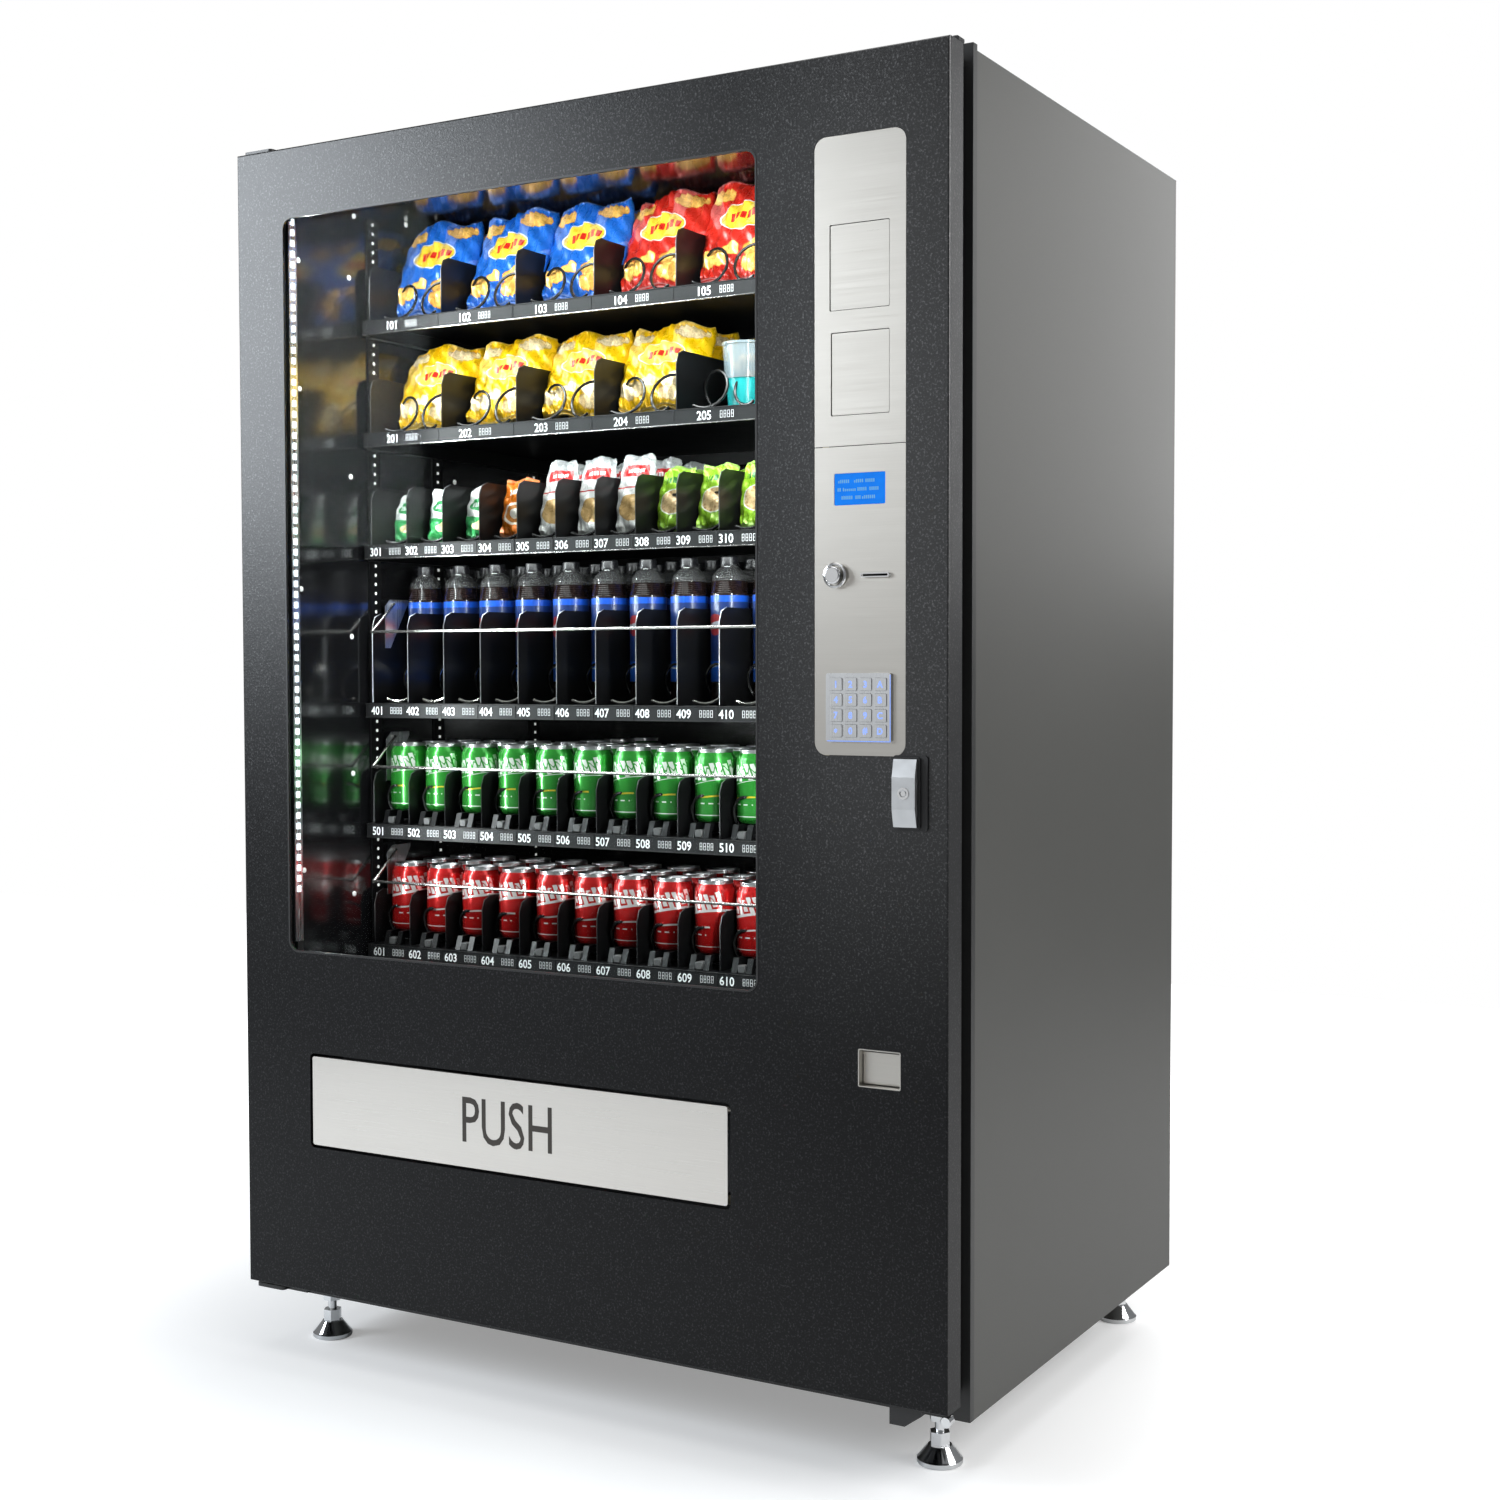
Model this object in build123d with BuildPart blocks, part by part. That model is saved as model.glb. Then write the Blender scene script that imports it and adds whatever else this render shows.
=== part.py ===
from build123d import *
import math
import os

# Glass-front spiral vending machine, in millimetres.  +Z is up, the front faces -Y and the
# origin lies on the floor under the middle of the machine.
# Sizes are given as stations measured from the door: x from its left edge, y backwards from
# its front face, z upwards from its lower edge.  place() turns a station into the frame.

os.makedirs("parts", exist_ok=True)

# Door
door_w, door_h, door_d = 1250.0, 1824.0, 43.0
skin = 2.0
gap = 0.05                # clearance between neighbouring parts

# Cabinet
frame_front, frame_back = 76.0, 89.0
frame_w = 43.0
cab_back = 930.0
cab_bottom, roof, frame_top = -33.0, 1826.0, 1834.0
sheet = 1.5
base_top = cab_bottom + sheet
wall_back = cab_back - sheet
inside_left, inside_right = sheet + gap, door_w - sheet - gap
machine_ceil = 190.0      # top of the machine compartment
foam_bottom = machine_ceil + 2
service_wall = 1026.0     # left face of the service compartment's wall

# Cold compartment: inside faces of its liner, then the outside faces
liner_left, liner_right, liner_back = 43.0, 996.0, 885.0
liner_floor, liner_ceil = 232.0, 1784.0
liner_sheet = 2.0
outer_left, outer_right = liner_left - liner_sheet, liner_right + liner_sheet
outer_back = liner_back + liner_sheet
outer_floor, outer_ceil = liner_floor - liner_sheet, liner_ceil + liner_sheet

# Openings in the door skin: x0, x1, z0, z1
window = (93.0, 960.5, 547.0, 1716.0)
control = (1049.5, 1187.5, 881.5, 1715.5)
flap = (138.0, 912.0, 238.0, 384.0)
cup = (1116.0, 1181.0, 431.0, 484.0)
window_r, control_r = 20.0, 18.0

# Door hinge axis
hinge_x, hinge_y = 16.0, 30.0
pin_r, bush_r, bush_h = 5.0, 8.0, 20.0

# Door lock
lock_x, lock_z = 1191.0, 833.5
key_front = -16.0         # face of the key cylinder, the foremost point
barrel_r, spindle_r, key_r = 14.0, 10.0, 8.0

# Trays, top to bottom: price strip centre z, divider height above the deck
trays = [(1580.0, 95.0), (1390.0, 95.0), (1200.0, 97.0), (930.0, 153.0), (724.0, 92.0),
         (517.0, 92.0)]
last_wide_tray = 2        # trays down to this one have double-width lanes
first_can_tray = 5        # trays from this one down have can rails
vend_tray, vend_lane = 5, 3   # the lane whose spiral turns
lanes, lane_pitch, lane_start = 12, 76.8, 58.5

# Station (0, 0, 0) in the machine's frame
offset_x = -door_w / 2
offset_y = -(key_front + cab_back) / 2
offset_z = 116.0
ground = -offset_z        # the floor under the machine, as a station

cut = Mode.SUBTRACT


# Helpers: all take stations, except rod() and block(), which take a plane

def place(x, y, z):
    """Point in the machine's frame for a station."""
    return (x + offset_x, y + offset_y, z + offset_z)


def level(x, y, z):
    """Plane facing +Z with its origin at a station."""
    return Plane(origin=place(x, y, z), x_dir=(1, 0, 0), z_dir=(0, 0, 1))


def upright(x, y, z):
    """Plane facing -Y with its origin at a station."""
    return Plane(origin=place(x, y, z), x_dir=(1, 0, 0), z_dir=(0, -1, 0))


def cross(x, y, z):
    """Plane facing +X with its origin at a station."""
    return Plane(origin=place(x, y, z), x_dir=(0, 1, 0), z_dir=(1, 0, 0))


def block(plane, width, height, depth, radius, mode):
    """Rectangle centred on a plane, its corners rounded, extruded by depth."""
    with BuildSketch(plane) as outline:
        if radius:
            RectangleRounded(width, height, radius)
        else:
            Rectangle(width, height)
    extrude(outline.sketch, amount=depth, mode=mode)


def slab(x0, x1, y0, y1, z0, z1, radius=0.0, mode=Mode.ADD):
    """Block whose vertical edges are rounded."""
    plane = level((x0 + x1) / 2, (y0 + y1) / 2, z0)
    block(plane, x1 - x0, y1 - y0, z1 - z0, radius, mode)


def panel(x0, x1, z0, z1, y0, y1, radius=0.0, mode=Mode.ADD):
    """Upright plate whose edges along Y are rounded."""
    plane = upright((x0 + x1) / 2, y0, (z0 + z1) / 2)
    block(plane, x1 - x0, z1 - z0, y0 - y1, radius, mode)


def rod(plane, radius, length, mode=Mode.ADD):
    """Round bar along a plane's normal."""
    with BuildSketch(plane) as circle:
        Circle(radius)
    extrude(circle.sketch, amount=length, mode=mode)


def rod_x(y, z, x0, x1, radius, mode=Mode.ADD):
    rod(cross(x0, y, z), radius, x1 - x0, mode)


def rod_y(x, z, y0, y1, radius, mode=Mode.ADD):
    rod(upright(x, y0, z), radius, y0 - y1, mode)


def rod_z(x, y, z0, z1, radius, mode=Mode.ADD):
    rod(level(x, y, z0), radius, z1 - z0, mode)


def hexagon_z(x, y, z0, z1, across_flats):
    """Hexagonal block along Z."""
    with BuildSketch(level(x, y, z0)) as hexagon:
        RegularPolygon(across_flats / math.sqrt(3), 6)
    extrude(hexagon.sketch, amount=z1 - z0)


def profile_x(points, x0, x1):
    """Closed (y, z) outline pushed along X."""
    with BuildSketch(cross(x0, 0, 0)) as outline:
        with BuildLine():
            Polyline(*points, close=True)
        make_face()
    extrude(outline.sketch, amount=x1 - x0)


def turned(x, y, z, points):
    """Closed (radius, height) outline turned about the vertical through a station."""
    with BuildSketch(upright(x, y, z)) as outline:
        with BuildLine():
            Polyline(*points, close=True)
        make_face()
    revolve(outline.sketch, axis=Axis(place(x, y, 0), (0, 0, 1)), revolution_arc=360)


def grow(rect, margin):
    """Rectangle (x0, x1, z0, z1) widened by a margin on every side."""
    x0, x1, z0, z1 = rect
    return (x0 - margin, x1 + margin, z0 - margin, z1 + margin)


def save(part, label):
    part.label = label
    export_step(part, f"parts/{label}.step")


# ----------------------------------------------------------------- cabinet --
with BuildPart() as cabinet_shell:
    # side, roof, base and back sheets, the deck above the machine compartment
    # and the wall of the service compartment
    for x in (0, door_w - sheet):
        slab(x, x + sheet, frame_back, wall_back, cab_bottom, roof)
    for z in (roof - sheet, cab_bottom):
        slab(inside_left, inside_right, frame_back, wall_back, z, z + sheet)
    slab(0, door_w, wall_back + gap, cab_back, machine_ceil, roof)
    slab(inside_left, inside_right, frame_back, wall_back, machine_ceil, foam_bottom)
    slab(service_wall, service_wall + 2, frame_back, outer_back,
         foam_bottom + gap, roof - sheet - gap)
save(cabinet_shell.part, "cabinet_shell")

# cover behind the machine compartment, with two fields of louvre slots
louvre_count, louvre_pitch = 9, 16
with BuildPart() as rear_grille:
    slab(0, door_w, wall_back + gap, cab_back, cab_bottom, machine_ceil - gap)
    with BuildSketch(upright(0, wall_back - 1, 0)) as louvres:
        for x in (360, 890):
            with Locations((x, 84)):
                with GridLocations(0, louvre_pitch, 1, louvre_count):
                    SlotOverall(360, 7)
    extrude(louvres.sketch, amount=-(sheet + 2), mode=cut)
save(rear_grille.part, "rear_grille")

with BuildPart() as front_frame:
    # face frame that the door gasket closes on
    for x in (0, door_w - frame_w):
        slab(x, x + frame_w, frame_front, frame_back, cab_bottom, frame_top)
    for z0, z1 in ((outer_ceil, frame_top), (cab_bottom, 18)):
        slab(frame_w + gap, door_w - frame_w - gap, frame_front, frame_back, z0, z1)
save(front_frame.part, "front_frame")

with BuildPart() as insulation:
    # foam round the cold compartment: left, top, back, floor, right
    foam_x0, foam_x1 = outer_left + gap, service_wall - gap
    slab(sheet, outer_left, frame_back, wall_back, foam_bottom, roof - sheet)
    slab(foam_x0, foam_x1, frame_back, wall_back, outer_ceil + gap, roof - sheet)
    slab(foam_x0, foam_x1, outer_back + gap, wall_back, foam_bottom, outer_ceil)
    slab(foam_x0, outer_right - gap, frame_back, outer_back, foam_bottom, outer_floor)
    slab(outer_right, foam_x1, frame_back, outer_back, foam_bottom, outer_ceil)
save(insulation.part, "insulation")

with BuildPart() as inner_liner:
    # liner sheets: left, right, back, ceiling, floor
    for x in (outer_left, liner_right):
        slab(x, x + liner_sheet, frame_back, outer_back, outer_floor, outer_ceil)
    sheet_x = (liner_left + gap, liner_right - gap)
    slab(*sheet_x, liner_back, outer_back, outer_floor, outer_ceil)
    for z in (liner_ceil, outer_floor):
        slab(*sheet_x, frame_back, liner_back - gap, z, z + liner_sheet)
save(inner_liner.part, "inner_liner")

# posts, and the angle ledges that carry each tray, on both sides
post_w, post_t = 28, 3
ledge_w, ledge_t = 12, 2
with BuildPart() as tray_supports:
    left_face, right_face = liner_left + post_t, liner_right - post_t
    for y in (262, 434, 726):
        for x in (liner_left, right_face):
            slab(x, x + post_t, y, y + post_w, 300, 1770)
    for strip, _ in trays:
        ledge_top = strip - 12.2
        for z0, z1, width in ((ledge_top - ledge_t, ledge_top, ledge_w),
                              (ledge_top + gap, strip + 10, ledge_t)):
            slab(left_face + gap, left_face + width, 256, 850, z0, z1)
            slab(right_face - width, right_face - gap, 256, 850, z0, z1)
save(tray_supports.part, "tray_supports")

# open-topped, open-fronted bin behind the delivery flap
bin_left, bin_right, bin_front, bin_back, bin_top = 122, 928, 92, 440, 400
bin_wall = 2
with BuildPart() as delivery_bin:
    wall_z = (liner_floor + bin_wall + gap, bin_top)
    slab(bin_left, bin_right, bin_front, bin_back, liner_floor, liner_floor + bin_wall)
    for x in (bin_left, bin_right - bin_wall):
        slab(x, x + bin_wall, bin_front, bin_back, *wall_z)
    slab(bin_left + bin_wall + gap, bin_right - bin_wall - gap,
         bin_back - bin_wall, bin_back, *wall_z)
save(delivery_bin.part, "delivery_bin")

with BuildPart() as compressor:
    # domed oval can on its foot plate
    plate_top = -26
    slab(700, 930, 560, 760, base_top, plate_top, radius=12)
    with BuildSketch(level(815, 660, plate_top)) as can_base:
        Ellipse(95, 75)
    extrude(can_base.sketch, amount=165)
    fillet(compressor.edges().group_by(Axis.Z)[-1], 40)
save(compressor.part, "compressor")

with BuildPart() as condenser:
    # block with its four header tubes, beside the compressor
    slab(250, 620, 800, 870, base_top, 150)
    for z in (0, 40, 80, 120):
        rod_x(835, z, 238, 632, radius=5)
save(condenser.part, "condenser")

with BuildPart() as evaporator:
    # coil block with two round fan bosses, on the floor behind the bin
    evap_front = 600
    slab(180, 860, evap_front, 860, liner_floor, 400, radius=8)
    for x in (340, 700):
        rod_y(x, 316, evap_front - 10, evap_front, radius=72)
save(evaporator.part, "evaporator")

with BuildPart() as control_box:
    # controller enclosure on the service wall
    slab(service_wall + 2, 1090, 420, 760, 900, 1400, radius=4)
save(control_box.part, "control_box")

# lower and upper hinge leaves, each with its fixed pin
leaf_top, leaf_bottom = -7, -13
pin_reach = bush_h + 2
with BuildPart() as hinge_brackets:
    slab(2, 60, hinge_y - 16, frame_front, leaf_bottom, leaf_top, radius=6)
    slab(3, 60, frame_front - 5, frame_front, -32, leaf_bottom - gap)
    rod_z(hinge_x, hinge_y, leaf_top, pin_reach, pin_r)
    slab(2, 60, hinge_y - 16, frame_front, door_h + 3, door_h + 8, radius=6)
    rod_z(hinge_x, hinge_y, door_h - pin_reach, door_h + 3, pin_r)
save(hinge_brackets.part, "hinge_brackets")

# Levelling feet: heights above the floor
feet = [(x, y) for y in (124.0, 854.0) for x in (67.0, door_w - 67.0)]
stud_r = 7
stud_bore = stud_r + gap
pad_top, hexagon_top, stud_top = 26, 45, 82.5
nut_bottom, nut_top = 61, 73
socket_h = cab_bottom - ground - nut_top
# (radius, height) outlines
pad_outline = [(0, 0), (31.5, 0), (32.5, 1.5), (32.5, 7), (30.5, 9), (17, pad_top), (0, pad_top)]
socket_outline = [(stud_bore, 0), (19, 0), (26, socket_h), (stud_bore, socket_h)]

with BuildPart() as levelling_feet:
    # turned pad, wrench hexagon and stud, one piece per foot
    for x, y in feet:
        turned(x, y, ground, pad_outline)
        hexagon_z(x, y, ground + pad_top, ground + hexagon_top, across_flats=26)
        rod_z(x, y, ground + hexagon_top, ground + stud_top, stud_r)
save(levelling_feet.part, "levelling_feet")

with BuildPart() as foot_nuts:
    # jam nuts under the sockets
    for x, y in feet:
        hexagon_z(x, y, ground + nut_bottom, ground + nut_top, across_flats=27)
        rod_z(x, y, ground + nut_bottom, ground + nut_top, stud_bore, cut)
save(foot_nuts.part, "foot_nuts")

with BuildPart() as foot_sockets:
    # tapered sockets below the base sheet
    for x, y in feet:
        turned(x, y, ground + nut_top, socket_outline)
save(foot_sockets.part, "foot_sockets")

# -------------------------------------------------------------------- door --
through_skin = (-1, skin + 1)
with BuildPart() as door_skin:
    # folded front with its returns, open at the back
    slab(0, door_w, 0, door_d, 0, door_h)
    slab(skin, door_w - skin, skin, door_d + 1, skin, door_h - skin, mode=cut)
    panel(*window, *through_skin, window_r, cut)
    panel(*control, *through_skin, control_r, cut)
    panel(*grow(flap, 3), *through_skin, 8, cut)
    panel(*cup, *through_skin, 3, cut)
    rod_y(lock_x, lock_z, *through_skin, barrel_r + 0.2, cut)
    rod_z(hinge_x, hinge_y, -1, skin + 1, bush_r, cut)
    rod_z(hinge_x, hinge_y, door_h - skin - 1, door_h + 1, bush_r, cut)
    fillet(door_skin.faces().sort_by(Axis.Y)[0].outer_wire().edges(), 2.5)
save(door_skin.part, "door_skin")

# foam-filled stiles and rails behind the skin, and the flap's two cheeks
core_z0, core_z1 = 22, door_h - 22
left_stile, mid_stile, right_stile = (skin, 66), (985, 1040), (1225, door_w - skin)
low_rail_top, mid_rail_bottom = 230, 395
flap_pivot_y, flap_pivot_z, flap_pivot_r = 10, 376, 4
with BuildPart() as door_core:
    for stile in (left_stile, mid_stile, right_stile):
        slab(*stile, skin, door_d, core_z0, core_z1)
    for z0, z1 in ((1740, core_z1), (mid_rail_bottom, 530), (core_z0, low_rail_top)):
        slab(left_stile[1] + gap, mid_stile[0] - gap, skin, door_d, z0, z1)
    slab(mid_stile[1] + gap, right_stile[0] - gap, skin, door_d, core_z0, 400)
    for x in (124, 916):
        slab(x, x + 10, skin, door_d, low_rail_top + gap, mid_rail_bottom - gap)
        rod_x(flap_pivot_y, flap_pivot_z, x - 1, x + 11, flap_pivot_r + gap, cut)
save(door_core.part, "door_core")

# seal between door and frame, four lengths
gasket_x, gasket_z, gasket_w = 14, 12, 16
with BuildPart() as door_gasket:
    gasket_y = (door_d, frame_front - 0.5)
    rail_start = gasket_x + gasket_w + gap
    for x in (gasket_x, door_w - gasket_x - gasket_w):
        slab(x, x + gasket_w, *gasket_y, gasket_z, door_h - gasket_z)
    for z in (gasket_z, door_h - gasket_z - gasket_w):
        slab(rail_start, door_w - rail_start, *gasket_y, z, z + gasket_w)
save(door_gasket.part, "door_gasket")

with BuildPart() as hinge_bushes:
    # plain bushes in the door's lower and upper edges
    for z in (0, door_h - bush_h):
        rod_z(hinge_x, hinge_y, z, z + bush_h, bush_r)
        rod_z(hinge_x, hinge_y, z, z + bush_h, pin_r + gap, cut)
save(hinge_bushes.part, "hinge_bushes")

pane = (80, 973, 534, 1729)
with BuildPart() as window_trim:
    # thin trim that lines the window in front of the glass
    panel(*pane, skin, 4)
    panel(*grow(window, -0.2), -0.6, skin, window_r - 0.2)
    panel(*grow(window, -3), -2, 5, window_r - 3, cut)
save(window_trim.part, "window_trim")

with BuildPart() as window_glass:
    # double glazing: two panes
    for y in (4, 18):
        panel(*pane, y, y + 4)
save(window_glass.part, "window_glass")

with BuildPart() as led_strip:
    # light strip along the hinge side of the window
    slab(70, 86, 24, 42, 560, 1716)
save(led_strip.part, "led_strip")

# Control panel: two halves that fit its opening and meet at a narrow joint
control_fit = 0.5
control_split = 1299.5
panel_y = (0.5, skin)
half_r = control_r - control_fit
half_x0, half_x1, lower_z0, upper_z1 = grow(control, -control_fit)
lower_z1, upper_z0 = control_split - control_fit, control_split + control_fit

blank_openings = [(1073, 1163, 1481.5, 1597), (1075, 1163, 1340.5, 1452.5)]
with BuildPart() as upper_panel:
    # upper half, square at the joint, with two openings
    panel(half_x0, half_x1, upper_z0, upper_z1, *panel_y, half_r)
    panel(half_x0, half_x1, upper_z0, 1345, *panel_y)
    for opening in blank_openings:
        panel(*opening, 0, 3, 2, cut)
save(upper_panel.part, "upper_panel")

with BuildPart() as blank_covers:
    # covers set back in the upper panel's openings
    for opening in blank_openings:
        panel(*grow(opening, -1), 1.5, 3, 2)
save(blank_covers.part, "blank_covers")

with BuildPart() as bill_validator:
    # note unit behind the upper cover
    slab(1066, 1170, 3.2, 180, 1470, 1610, radius=3)
save(bill_validator.part, "bill_validator")

display_window = (1080, 1157, 1220, 1263)
coin_slot = (1123, 1162, 1123.3, 1126.7)
keypad_opening = (1071, 1166, 902, 992)
button_x, button_z, stem_r = 1083.0, 1125.6, 6
with BuildPart() as lower_panel:
    # lower half, square at the joint, with the turned guide of the coin return button
    panel(half_x0, half_x1, lower_z0, lower_z1, *panel_y, half_r)
    panel(half_x0, half_x1, 1255, lower_z1, *panel_y)
    panel(*display_window, 0, 3, 2, cut)
    panel(*coin_slot, 0, 3, 1.2, cut)
    panel(*keypad_opening, 0, 3, 2, cut)
    rod_y(button_x, button_z, -2.5, 6, 16.5)
    rod_y(button_x, button_z, -3, 7, stem_r + gap, cut)
save(lower_panel.part, "lower_panel")

with BuildPart() as display:
    # display module with its lens in the panel window
    module_front = skin + 0.2
    panel(*grow(display_window, 8), module_front, 20)
    panel(*grow(display_window, -0.3), 1.0, module_front, 2)
save(display.part, "display")

with BuildPart() as coin_mech:
    # coin mechanism and its return chute
    slab(1060, 1175, 28, 150, 1030, 1200, radius=3)
    slab(1125, 1172, 55, 80, 500, 1030)
save(coin_mech.part, "coin_mech")


def key_grid(y0, y1, width, height, radius, mode=Mode.ADD):
    """Four by four rounded blocks centred on the keypad opening."""
    x0, x1, z0, z1 = keypad_opening
    with BuildSketch(upright((x0 + x1) / 2, y0, (z0 + z1) / 2)) as keys:
        with GridLocations(22.2, 21.0, 4, 4):
            RectangleRounded(width, height, radius)
    extrude(keys.sketch, amount=y0 - y1, mode=mode)


key_w, key_h = 18.4, 17.0
with BuildPart() as keypad_body:
    # raised housing with a well for each key
    panel(*grow(keypad_opening, 1.5), -4, 0.4, 3)
    panel(*grow(keypad_opening, -0.2), 0.4, 12, 2)
    key_grid(-5, 10, key_w + 0.6, key_h + 0.6, 2, cut)
save(keypad_body.part, "keypad_body")

with BuildPart() as keypad_keys:
    # sixteen separate keys
    key_grid(-5.2, 8.5, key_w, key_h, 1.8)
save(keypad_keys.part, "keypad_keys")

with BuildPart() as coin_return_button:
    # mushroom button on its stem
    rod_y(button_x, button_z, -14, -8, 12)
    fillet(coin_return_button.faces().sort_by(Axis.Y)[0].edges(), 2.5)
    rod_y(button_x, button_z, -8, 20, stem_r)
save(coin_return_button.part, "coin_return_button")

surround = (1171, 1211, 785.5, 881.5)
with BuildPart() as lock_housing:
    # base plate, raised surround and the barrel through the door skin
    panel(1170, 1221, 783, 884, -2.5, 0, 5)
    panel(*surround, -6, -2.5, 4)
    panel(*grow(surround, -4), -7, -4, 3, cut)
    rod_y(lock_x, lock_z, -4, 30, barrel_r)
    rod_y(lock_x, lock_z, -8, 31, spindle_r + gap, cut)
save(lock_housing.part, "lock_housing")

# (y, z) outline of the handle's paddle
paddle = [(-7, 788), (-9.5, 788), (-15, 812), (-15, 855), (-9.5, 879), (-7, 879)]
with BuildPart() as lock_handle:
    # paddle with its spindle, bored for the key cylinder
    profile_x(paddle, lock_x - 17, lock_x + 17)
    rod_y(lock_x, lock_z, -7, 38, spindle_r)
    rod_y(lock_x, lock_z, key_front, 16, key_r + gap, cut)
save(lock_handle.part, "lock_handle")

with BuildPart() as key_cylinder:
    # key cylinder with its annular keyway
    rod_y(lock_x, lock_z, key_front, 15, key_r)
    rod_y(lock_x, lock_z, key_front - 1, -10, 5.2, cut)
    rod_y(lock_x, lock_z, key_front + 0.5, -9, 3.6)
save(key_cylinder.part, "key_cylinder")

cup_pivot_y, cup_pivot_z, cup_pivot_r = 14, 476, 2.0
with BuildPart() as coin_cup:
    # recessed pocket with bearing holes for its flap
    panel(*grow(cup, -0.5), 0, 50, 2.5)
    panel(*grow(cup, -2), -1, 48.5, 1.5, cut)
    rod_x(cup_pivot_y, cup_pivot_z, 1110, 1190, cup_pivot_r + 0.04, cut)
save(coin_cup.part, "coin_cup")

with BuildPart() as coin_flap:
    # flap on its pivot pin
    panel(1119, 1178, 434.5, 478, 12, 13.5)
    rod_x(cup_pivot_y, cup_pivot_z, 1117, 1180, cup_pivot_r)
save(coin_flap.part, "coin_flap")

with BuildPart() as delivery_flap:
    # flap with a folded top edge and its pivot rod
    plate = grow(flap, -2)
    panel(*plate, 0.3, 2.3, 4)
    slab(*plate[:2], 2.3, 13, 371, 381)
    rod_x(flap_pivot_y, flap_pivot_z, 126, 924, flap_pivot_r)
save(delivery_flap.part, "delivery_flap")

# ------------------------------------------------------------------- trays --
tray_left, tray_right = 50.0, 988.6
tray_front, tray_back = 243.0, 817.0
rear_plate = tray_back - 2
strip_half = 12           # half the price strip's height
deck_rise = 12.5          # deck's top above the strip's centre
axis_rise = 34            # spiral axis above the deck
rail_bottom, rail_top = 12, 22.5   # can rails above the deck
coil_r, wire_r, coil_pitch, coil_turns = 31.0, 1.75, 76.8, 7
coil_front = 264.0
shaft_r = 5.0
can_r, can_h = 33.0, 115.0
# (radius, height) outline of a can
can_outline = [(0, 0), (24, 0), (can_r, 11), (can_r, can_h - 13), (27, can_h), (0, can_h)]


def lane_x(lane):
    """Middle of a lane."""
    return lane_start + lane_pitch * (lane + 0.5)


def coil_solid(left):
    """Spiral along +Y from the origin with its rear leg and hub, its front end at the top,
    wound left-handed or right-handed about +Y, in eight-sided wire."""
    length = coil_pitch * coil_turns
    with BuildPart() as coil:
        with BuildLine() as path:
            Helix(pitch=coil_pitch, height=length, radius=coil_r, center=(0, 0, 0),
                  direction=(0, 1, 0), lefthand=left)
        with BuildSketch(Plane(path.line @ 0, z_dir=path.line % 0)):
            RegularPolygon(wire_r, 8)
        sweep()
        # straight leg from the last turn to the hub
        tip = path.line @ 1
        inward = Vector(-tip.X, 0, -tip.Z).normalized()
        rod(Plane(tip - inward * 2.5, z_dir=inward), wire_r + 0.6, coil_r + 2.5 - shaft_r - 2)
        # hub, bored for the motor shaft
        rod(Plane.XZ.offset(8 - length), shaft_r + 4, -16)
        rod(Plane.XZ.offset(9 - length), shaft_r + gap, -18, cut)
    return coil.part


coil_left, coil_right = coil_solid(True), coil_solid(False)


def add_coil(number, lane, deck):
    """Put a spiral in its lane; every second one on the wide trays is mirrored.
    Its front end is at the top on the can trays and low at one side on the others."""
    mirrored = number <= last_wide_tray and lane % 2
    if number >= first_can_tray:
        turn = 0
    else:
        turn = 150 if mirrored else -150
    with Locations(Location(place(lane_x(lane), coil_front, deck + axis_rise), (0, turn, 0))):
        add(coil_right if mirrored else coil_left)


def add_can_rails(lane, deck):
    """Two rails with sloping noses that the cans stand on."""
    nose = [(250, deck + gap), (258, deck + rail_top), (262, deck + rail_top), (262, deck + gap)]
    for side in (-1, 1):
        x = lane_x(lane) + side * 13
        profile_x(nose, x - 5, x + 5)
        slab(x - 5, x + 5, 262 + gap, 785, deck + rail_bottom, deck + rail_top)


def build_tray(number, deck, divider_h):
    """Price strip, deck, side flanges, rear plate with shaft holes, dividers and rails."""
    strip = deck - deck_rise
    bottom = strip - strip_half
    deck_under = deck - sheet
    inner_y = (tray_front + 3 + gap, rear_plate - gap)
    top = deck + divider_h
    divider = [(252, deck + gap), (252, top - 22), (258.5, top - 6.5), (274, top),
               (rear_plate - gap, top), (rear_plate - gap, deck + gap)]
    with BuildPart() as tray:
        slab(tray_left, tray_right, tray_front, tray_front + 3, bottom, strip + strip_half)
        slab(tray_left, tray_right, *inner_y, deck_under, deck)
        for x in (tray_left, tray_right - sheet):
            slab(x, x + sheet, *inner_y, bottom, deck_under - gap)
        slab(tray_left, tray_right, rear_plate, tray_back, bottom, deck + 72)
        for k in range(0, lanes + 1, 2 if number <= last_wide_tray else 1):
            x = lane_start + lane_pitch * k
            profile_x(divider, x - 0.6, x + 0.6)
        if number >= first_can_tray:
            for lane in range(lanes):
                add_can_rails(lane, deck)
        for lane in range(lanes):
            rod_y(lane_x(lane), deck + axis_rise, rear_plate - 1, tray_back + 1, shaft_r + 1, cut)
    save(tray.part, f"tray_{number}")


def build_motors(number, deck):
    """One gear motor per spiral, its output shaft through the rear plate."""
    with BuildPart() as motors:
        for lane in range(lanes):
            x = lane_x(lane)
            slab(x - 27, x + 27, tray_back, 862, deck + 4, deck + 66, radius=3)
            rod_y(x, deck + axis_rise, 793, tray_back, shaft_r)
    save(motors.part, f"motors_{number}")


def build_spirals(number, deck):
    """All of a tray's spirals but the one that turns."""
    with BuildPart() as spirals:
        for lane in range(lanes):
            if (number, lane) != (vend_tray, vend_lane):
                add_coil(number, lane, deck)
    save(spirals.part, f"spirals_{number}")


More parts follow.
